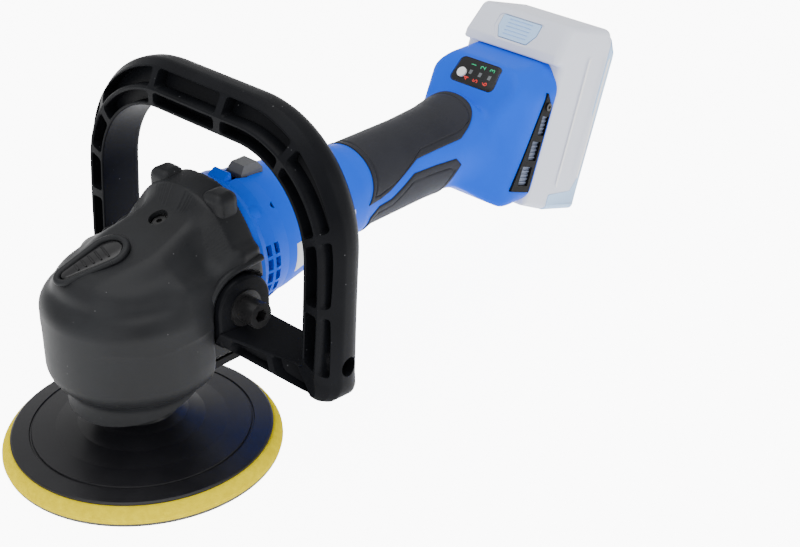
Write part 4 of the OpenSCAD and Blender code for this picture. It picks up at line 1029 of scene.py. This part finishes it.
# ---------------------------------------------------------------- blue shell and grip
@dataclass
class Shell:
    """The blue clamshell: a tapering barrel that swells into the faceted foot, its sections tipping into the seat."""

    wall: float = 2.6
    front: float = 77.0
    rear: float = 285.7

    def barrel(self, x: Array) -> Array:
        """Radius of the barrel and grip at stations along the body."""
        return np.interp(x, [78, 84, 99, 145, 158, 205, 228, 243, 256, 300],
                         [36.0, 35.6, 33.2, 27.6, 24.7, 24.5, 25.6, 27.8, 29.5, 29.5])

    def field(self, p: Array) -> Array:
        """Distance field of barrel and foot, joined by a broad fillet."""
        x, y, z = p[..., 0], np.abs(p[..., 1]), p[..., 2]
        mirrored = np.stack([x, y, z], -1)
        tube_part = round_max(np.hypot(y, z - AXIS_Z) - self.barrel(x), x - 251.0, 3.0)
        faces = (
            ((273, 0, 140.0), (0.04, 0, 1)), ((273, 0, 139.7), (-0.713, 0, 0.70)),
            ((270, 0, 57.0), (0, 0, -1)), ((248, 0, 62), (-0.336, 0, -0.94)), ((236, 0, 72), (-0.64, 0, -0.77)),
            ((270, 39.6, 100), (0, 1, 0)), ((265.2, 39.6, 102.6), (-0.523, 0.83, 0.2)),
            ((280, 33, 133.5), (0, 0.7, 0.7)), ((270, 36, 60.5), (0, 0.62, -0.78)),
        )
        foot = None
        for at, way in faces:
            d = plane(mirrored, at, way)
            foot = d if foot is None else blend_max(foot, d, 3.6)
        return blend_min(tube_part, foot, 5.0)

    def section(self, s: Array, wall: float, n: int = 200) -> Array:
        """Rows of shell points at shares s of the way from the collar to the seat, each row in its own tipped plane."""
        x0 = self.front + s * (self.rear - self.front)
        tilt = LEAN * easing(x0, 232, self.rear)
        a = np.linspace(0, 2 * math.pi, n, endpoint=False)
        up = np.stack([np.sin(tilt), 0 * tilt, np.cos(tilt)], -1)
        way = np.cos(a)[None, :, None] * up[:, None] + np.sin(a)[None, :, None] * np.array([0.0, 1.0, 0.0])
        origin = np.stack([x0, 0 * x0, np.full_like(x0, AXIS_Z - 0.6)], -1)
        return cast(lambda p: self.field(p) + wall, np.broadcast_to(origin[:, None], way.shape), way, 60.0, 40)

    def at(self, x: Array, a: Array, lift: Array) -> Array:
        """Shell points at stations x and angles a from the top, moved outwards by lift."""
        way = np.stack([0 * a, np.sin(a), np.cos(a)], -1)
        base = cast(self.field, np.stack([x, 0 * x, 0 * x + AXIS_Z], -1), way, 60.0, 30)
        return base + way * lift[..., None]

    def shell(self) -> Piece:
        """Closed wall of the clamshell, with the seat's tray and the openings for the vents cut in.

        Returns:
            The new object.
        """
        s = np.concatenate([np.linspace(0, 0.7, 90, endpoint=False), np.linspace(0.7, 1.0, 90)])
        outer = self.section(s, 0.0)
        inner = self.section(np.linspace(0.975, 0, 30), self.wall)
        grid = np.concatenate([inner, outer])
        body = skin("blue_shell", grid, sharp=42)
        seat = Place(tuple(SEAT), (0, 1, 0), (math.sin(LEAN), 0, math.cos(LEAN)))
        tray = slab("tray", seat, oblong(-26, 12, 26, 75), 3.0, -6.2, 2.0, 0, 0)
        vent = [(-20.4, 7.6), (-1.6, 7.6), (-1.6, 62.3), (-9.3, 70.6)]
        pits = [slab(f"vent_pit_{side}", seat_plane(side * 37.6), vent, 0.4, *span, 0, 0)
                for side, span in ((1, (-8.0, 0.0)), (-1, (0.0, 8.0)))]
        cut(body, tray, *pits)
        return body

    def panel(self, name: str, mids: tuple, edges: tuple, spread: tuple, base: float, lift: float = 0.85) -> Piece:
        """Rubber panel on the shell: rows from its front to its rear edge, each an arc, its border under the skin.

        Args:
            name: piece name.
            mids: front and rear station on the panel's middle line.
            edges: stations of its side edge, from front to rear.
            spread: arc length from the middle line to that edge, for each station.
            base: angle of the middle line from the top.
            lift: height over the shell.

        Returns:
            The new object.
        """
        u = np.linspace(0, 1, 110)
        xe = np.interp(u, np.linspace(0, 1, len(edges)), edges)
        te = np.interp(xe, edges, spread)
        xm = mids[0] + u * (mids[1] - mids[0])
        v = np.concatenate([[-1.0], np.linspace(-0.995, 0.995, 121), [1.0]])[None, :]
        x = xe[:, None] + (xm - xe)[:, None] * (1 - np.abs(v) ** 4.0)
        t = v * te[:, None]
        radius = np.interp(x, [145, 158, 228, 250], [27.5, 24.7, 25.6, 28.6])
        ang = base + t / radius
        end = np.minimum(u, 1 - u)[:, None] * (mids[1] - mids[0])
        border = np.minimum((1 - np.abs(v)) * te[:, None], end)
        rim = np.clip(border / 1.3, 0, 1)
        groove = 0.7 * np.exp(-(((border - 4.4) / 0.4) ** 2))
        high = lift * np.sqrt(np.clip(1 - (1 - rim) ** 2, 0, 1)) - 0.5 * (border < 0.02) - groove
        return skin(name, self.at(x, ang, high), close_v=False, caps=False, sharp=60)

    def build(self) -> None:
        """Makes the shell and the two rubber grips, and dresses them."""
        dress(self.shell(), Look.BLUE, "tool_body", "blue_plastic", "body_left", "body_right")
        upper = self.panel("grip_upper", (155.5, 248.5), (146.0, 155, 163.6, 191, 210, 228.5, 234),
                           (43.0, 40.5, 38.3, 27.2, 27.2, 27.4, 25.0), 0.0)
        dress(upper, Look.GRIP, "tool_body", "grip_rubber", "grip_top")
        low = self.panel("grip_lower", (150.0, 217.0), (149.5, 158, 167.5, 186.7, 205, 222, 226),
                         (32.0, 33.4, 34.6, 44.6, 44.0, 43.0, 38.0), math.pi)
        dress(low, Look.GRIP, "tool_body", "grip_rubber", "grip_bottom")


# ---------------------------------------------------------------- pad
@dataclass
class Pad:
    """The foam layer of the pad, with a soft seam round its edge: pairs of radius and height."""

    lower: tuple = (INNER, 1.45)
    side: tuple = ((74.4, 1.45), (74.95, 1.9), (75.0, 2.5), (74.8, 3.2), (74.9, 3.9), (74.3, 5.3), (73.2, 7.1),
                   (71.9, 8.6), (71.0, 9.3), (70.0, 9.6))
    upper: tuple = (INNER, 9.6)

    def build(self) -> None:
        profile = [self.lower, *smooth_path(self.side, 40).tolist(), self.upper]
        foam = revolve("foam_layer", profile, (0, 0, 0), "z", 220, 60)
        dress(foam, Look.FOAM, "pad", "foam", "pad_foam")


# ---------------------------------------------------------------- battery and controls
@dataclass
class Battery:
    """The slide-on pack: its side outline drawn out across its width, with rounded rims and chamfered outer edges."""

    half: float = 38.0
    stripes: tuple = (((27.6, 95.0), (29.0, 13.0)), ((47.8, 96.8), (49.0, 19.4)))

    def case(self, grow: float = 0.0) -> Piece:
        """The case with its latch recess, its sides drawn in beyond the chamfer line.

        Args:
            grow: how far the outline moves outwards; a grown case has no recess.

        Returns:
            The new object.
        """
        outline = [(0.4, -2), (20, -4), (58, -3), (64, 6), (64, 99), (45, 113), (3, 111), (-5.4, 92), (-5.4, 86.4),
                   (0.4, 85.7)]
        radii = np.array([1.5, 8.0, 5.0, 5.0, 7.0, 7.0, 5.0, 3.0, 1.0, 0.6])
        rim, far = 4.0, 2 * self.half - 4.0  # the rim's radius, and where the far rim starts
        rows = [(rim * (1 - math.sin(t)), rim * (1 - math.cos(t))) for t in np.linspace(0, math.pi / 2, 8)]
        rows += [(0.0, d) for d in np.linspace(rim + 2, far - 2, 30)]
        rows += [(rim * (1 - math.cos(t)), far + rim * math.sin(t)) for t in np.linspace(0, math.pi / 2, 8)]
        loops = [rounded_loop(np.array(outline, float), radii, d - grow, 8) for d, _ in rows]
        place = seat_plane(self.half)
        grid = []
        for loop, (_, depth) in zip(loops, rows):
            shrink = np.interp(loop[:, 0], [52.0, 65.0], [1.0, 29.0 / self.half])
            shrink *= np.interp(loop[:, 1], [88.0, 113.0], [1.0, 0.93])
            p = place.lift(loop, np.zeros(len(loop)))
            p[:, 1] = (self.half - depth) * shrink * (1 + grow / self.half)
            grid.append(p)
        case = skin("pack_case", np.stack(grid), sharp=38)
        if grow > 0:
            return case
        tip = LEAN + math.radians(24.5)
        up = np.array([math.sin(tip), 0, math.cos(tip)])
        at = seat_plane(0.0).lift(np.array([[-5.5, 92.0]]), np.zeros(1))[0]
        room = Place(tuple(at - up), (0, 1, 0), tuple(up))
        shape = [(-11.3, 1.7), (11.3, 1.7), (15.3, 9), (15.3, 17.3), (-15.3, 17.3), (-15.3, 9)]
        pit = slab("latch_pit", room, shape, 1.4, -4.5, 6.2, 0, 0)
        mouth = slab("latch_rim", room, [(x * 1.16, z * 1.1 - 1.6) for x, z in shape], 3.0, -6.0, 0.5, 0, 0)
        cut(case, pit, mouth)
        return case

    def corners(self) -> Piece:
        """The coloured corner piece: a slightly grown case kept only inside the trim's outline."""
        piece = self.case(0.55)
        shape = [(44, -20), (74, -20), (74, 105), (52, 114), (52, 60), (59, 52), (59, 20), (52, 8), (24, 6), (24, -20)]
        combine(piece, "INTERSECT", slab("trim_zone", seat_plane(60.0), shape, 1.0, 0, 120.0, 0, 0))
        return piece

    def build(self) -> None:
        """Makes the case, its corner trim and its side stripes and dresses them."""
        trim = self.corners()
        trim.name = "pack_trim"
        dress(trim, Look.TRIM, "battery", "pack_blue", "battery_trim")
        dress(self.case(), Look.CASE, "battery", "pack_grey", "battery_case")
        bars = []
        for s in (1, -1):
            for i, (a, b) in enumerate(self.stripes):
                place = seat_plane(self.half + 0.25 if s > 0 else -self.half)
                box = [(b[0] - 0.9, b[1]), (b[0] + 0.9, b[1] - 2.5), (a[0] + 0.9, a[1]), (a[0] - 0.9, a[1] - 2.5)]
                bars.append(slab(f"stripe_{s}_{i}", place, box, 0.3, 0.0, 0.25, 0, 0.1, 3))
        dress(join("pack_stripes", *bars), Look.STRIPE, "battery", "pack_grey")


@dataclass
class Controls:
    """The speed panel with its figures, the labels on the barrel, the slide switch's guard, and the vents' grilles."""

    at: tuple = (267.3, 0.0, 134.0)
    tilt: float = math.radians(45.0)
    raised: float = 0.12

    def figure(self, char: str, x: float, y: float, look: Look) -> Piece:
        """One raised numeral on the panel, its foot towards the near side.

        Args:
            char: the numeral.
            x: its place across the panel, along +Y.
            y: its place down the ramp.
            look: its finish.

        Returns:
            The numeral, as a mesh.
        """
        curve = bpy.data.curves.new("figure_" + char, "FONT")
        curve.body = char
        curve.size = 5.4
        curve.extrude = self.raised
        curve.align_x = "CENTER"
        curve.align_y = "CENTER"
        text = bpy.data.objects.new("figure_" + char, curve)
        mesh = bpy.data.meshes.new_from_object(text)
        bpy.data.objects.remove(text)
        c, s, up = math.cos(self.tilt), math.sin(self.tilt), self.raised
        px, py, pz = self.at
        m = Matrix(((0, -c, -s, px - y * c - up * s), (1, 0, 0, py + x), (0, -s, c, pz - y * s + up * c), (0, 0, 0, 1)))
        turn = Matrix.Rotation(math.radians(-90.0), 4, "Z")
        mesh.transform(Matrix.Scale(0.001, 4) @ m @ turn)
        obj = bpy.data.objects.new("figure_" + char, mesh)
        bpy.context.scene.collection.objects.link(obj)
        obj.data.materials.append(look.material())
        return obj

    def panel(self) -> None:
        """The dark panel and its rim, with three green and three red numerals."""
        c, s = math.cos(self.tilt), math.sin(self.tilt)
        place = Place(self.at, (0, 1, 0), (-c, 0, -s))
        shape = [(-15.6, -7.8), (15.9, -7.8), (17.0, 8.6), (-17.0, 8.6)]
        plate = slab("panel_plate", place, shape, (4.0, 4.0, 3.4, 3.4), -3.2, 0.1, 0, 0.5, 8)
        wider = [(x * 1.05, y * 1.08) for x, y in shape]
        rim = slab("panel_rim", place, wider, (4.4, 4.4, 3.8, 3.8), -3.6, 0.02, 0, 0.6, 8)
        well = slab("panel_well", place, shape, (4.0, 4.0, 3.4, 3.4), -0.35, 2.0, 0, 0, 8)
        cut(rim, well)
        dress(join("panel_face", plate, rim), Look.GLOSS, "tool_body", "gloss_black", "control_panel")
        for row, look, y, shift in (("321", Look.GREEN, -4.4, 0.0), ("654", Look.RED, 5.0, 0.7)):
            marks = [self.figure(char, -10.2 + 7.4 * i + shift, y, look) for i, char in enumerate(row)]
            dress(join("figures_" + row, *marks), look, "tool_body", "lens_grey")

    def labels(self) -> None:
        """Pale label on each side of the barrel, a patch of the shell lifted by a quarter of a millimetre."""
        shell, x0, x1 = Shell(), 83.5, 135.5
        for side in (1, -1):
            x = np.linspace(x0, x1, 40)[:, None] + np.zeros((1, 24))
            share = np.linspace(0, 1, 24)[None, :]
            low = np.interp(x, [x0, x1], [116.0, 106.0])
            a = np.radians(84.0 + (low - 84.0) * share) * side
            edge = np.minimum(np.minimum(x - x0, x1 - x), np.minimum(share, 1 - share) * 12)
            lift = np.where(edge < 0.01, -0.3, 0.25)
            patch = skin("label_" + ("left" if side > 0 else "right"), shell.at(x, a, lift), close_v=False, caps=False)
            dress(patch, Look.PAPER, "tool_body", "label_white", *(("side_labels",) if side > 0 else ()))

    def guard(self) -> None:
        """Wedge on the collar in front of the slide switch."""
        outline = [(54.0, 133.6), (64.6, 139.8), (66.0, 139.4), (66.4, 133.6)]
        place = Place((0, 6.5, 0), (1, 0, 0), (0, 0, 1))
        wedge = slab("switch_guard", place, outline, (0.8, 0.8, 0.6, 0.5), 0, 13.0, 1.2, 1.2, 5)
        dress(wedge, Look.BLUE, "tool_body", "blue_plastic")

    def vents(self) -> None:
        """Grilles behind the windows of the vent inserts: a plate in each window with five short bars across it."""
        bars = []
        for s in (1, -1):
            place = seat_plane(s * 37.9)
            plate, bar = ((-0.5, 0.4), (0.4, 1.1)) if s < 0 else ((-0.4, 0.5), (-1.1, -0.4))
            for k in range(3):
                x0, x1, low = -14.6 + k * 2.9, -5.2 + k * 1.5, 12.0 + k * 16.0
                window = oblong(x0 - 0.5, low - 0.5, x1 + 0.5, low + 12.5)
                bars.append(slab(f"mesh_{s}_{k}", place, window, 1.2, *plate, 0, 0))
                for i in range(5):
                    z = low + 1.2 + 2.4 * i
                    bars.append(slab(f"bar_{s}_{k}_{i}", place, oblong(x0, z, x1, z + 0.9), 0.3, *bar, 0, 0.2, 3))
        dress(join("vent_grilles", *bars), Look.GRILLE, "tool_body", "black_plastic")

    def build(self) -> None:
        """Makes every control and marking."""
        self.panel()
        self.labels()
        self.guard()
        self.vents()




# CAD nodes that show as they are, by finish
BARE = {
    Look.CAST: ("gear_housing",),
    Look.BLACK: ("bearing_cover", "cooling_fan", "bearing_bridge", "switch_rod", "switch_unit", "terminal_block",
        "vent_inserts"),
    Look.STEEL: ("cover_screws", "upper_bearing", "main_bearing", "drive_spindle", "eccentric_bearing",
        "spindle_clip", "pad_spindle", "pad_insert", "motor_shaft", "lock_pin", "lock_spring", "flange_screws",
        "front_bearing", "rear_bearing"),
    Look.BOLT: ("boot_screw", "counterweight", "handle_bolts", "handle_washers", "body_screws", "vent_screws"),
    Look.GEAR: ("crown_gear", "pinion_gear"),
    Look.PAD: ("pad_disc",),
    Look.HOOK: ("pad_hook",),
    Look.LAMINATE: ("rotor_core", "stator_core"),
    Look.BLUE: ("fan_shroud",),
    Look.COPPER: ("stator_windings",),
    Look.BOARD: ("hall_board", "controller_board", "battery_board"),
    Look.SLIDER: ("switch_slider",),
    Look.LENS: ("panel_lights",),
    Look.WHITE: ("speed_button",),
    Look.CELL: ("battery_cells",),
    Look.TRIM: ("battery_latch",),
}
PARTS = (Handle, Boot, Shell, Pad, Battery, Controls)


# ---------------------------------------------------------------- stage
def stand(name: str, data: bpy.types.ID, at: tuple, right: Array, back: Array) -> Piece:
    """Camera or lamp at a point, its X axis along right and its Z axis along back, both of length 1.

    Args:
        name: object name.
        data: camera or lamp.
        at: its place, in metres.
        right: the way of its X axis.
        back: the way of its Z axis.

    Returns:
        The new object.
    """
    obj = bpy.data.objects.new(name, data)
    bpy.context.scene.collection.objects.link(obj)
    axes = np.stack([right, np.cross(back, right), back], 1).tolist()
    obj.matrix_world = Matrix([[*row, p] for row, p in zip(axes, at)] + [[0, 0, 0, 1]])
    return obj


@dataclass
class Stage:
    """Pale floor, pale surroundings, large soft lamps, and the camera."""

    eye: tuple = (-0.42287, -0.59474, 0.50647)
    azimuth: float = math.radians(-46.33)
    height: float = math.radians(29.34)
    lens: float = 72.63
    floor_glow: float = 1.3
    floor_white: float = 9.0

    def camera(self) -> None:
        """Places the camera: its back vector points from the polisher to the eye."""
        a, e = self.azimuth, self.height
        back = np.array([math.sin(a) * math.cos(e), -math.cos(a) * math.cos(e), math.sin(e)])
        right = np.array([math.cos(a), math.sin(a), 0.0])
        data = bpy.data.cameras.new("camera")
        data.lens = self.lens
        data.sensor_width = 36.0
        data.clip_start = 0.01
        bpy.context.scene.camera = stand("camera", data, self.eye, right, back)

    def lamp(self, name: str, at: tuple, to: tuple, size: float, power: float) -> None:
        """Square soft lamp at a point, turned towards another, both in metres."""
        data = bpy.data.lights.new(name, "AREA")
        data.size = size
        data.energy = power
        back = np.array(at, float) - np.array(to, float)
        back /= np.linalg.norm(back)
        right = np.cross([0, 0, 1.0], back) if abs(back[2]) < 0.99 else np.array([1.0, 0, 0])
        stand(name, data, at, right / np.linalg.norm(right), back)

    def build(self) -> None:
        """Makes the floor, the surroundings, the lamps and the camera."""
        u = np.linspace(-6000, 6000, 3)
        x, y = np.meshgrid(u, u, indexing="ij")
        floor = skin("floor", np.stack([x, y, np.full_like(x, -0.3)], -1)[:, ::-1], close_v=False, caps=False)
        mat = bpy.data.materials.new("floor")
        mat.use_nodes = True
        tree = mat.node_tree
        bsdf = tree.nodes["Principled BSDF"]
        plain = {"Base Color": (0.9, 0.9, 0.9, 1), "Roughness": 0.9, "Emission Color": (1, 1, 1, 1)}
        for label, value in plain.items():
            bsdf.inputs[label].default_value = value
        rays = add_node(tree, "LightPath")
        glow = add_node(tree, "MapRange", {"To Min": self.floor_glow, "To Max": self.floor_white})
        tree.links.new(rays.outputs["Is Camera Ray"], glow.inputs["Value"])
        tree.links.new(glow.outputs[0], bsdf.inputs["Emission Strength"])
        floor.data.materials.append(mat)
        world = bpy.data.worlds.new("surroundings")
        world.use_nodes = True
        world.node_tree.nodes["Background"].inputs[0].default_value = (1, 1, 1, 1)
        world.node_tree.nodes["Background"].inputs[1].default_value = 0.85
        bpy.context.scene.world = world
        self.lamp("lamp_top", (0.05, 0.1, 1.5), (0.1, 0, 0.1), 1.3, 14)
        self.lamp("lamp_left", (-1.3, -0.5, 0.9), (0.05, 0, 0.1), 1.0, 7)
        self.lamp("lamp_right", (0.8, -1.4, 0.8), (0.15, 0, 0.1), 1.0, 5)
        self.camera()


def main() -> None:
    """Builds the polisher's looks on its frame, and reports each piece."""
    logging.basicConfig(level=logging.INFO, format="%(message)s", stream=sys.stdout)
    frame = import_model()
    Stage().build()
    for part in PARTS:
        part().build()
    for look, nodes in BARE.items():
        for node in nodes:
            obj = frame["nodes"][node]
            obj.data.materials.clear()
            obj.data.materials.append(look.material())
    spring = frame["nodes"]["lock_spring"]
    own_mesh(spring)


if __name__ == "__main__":
    main()
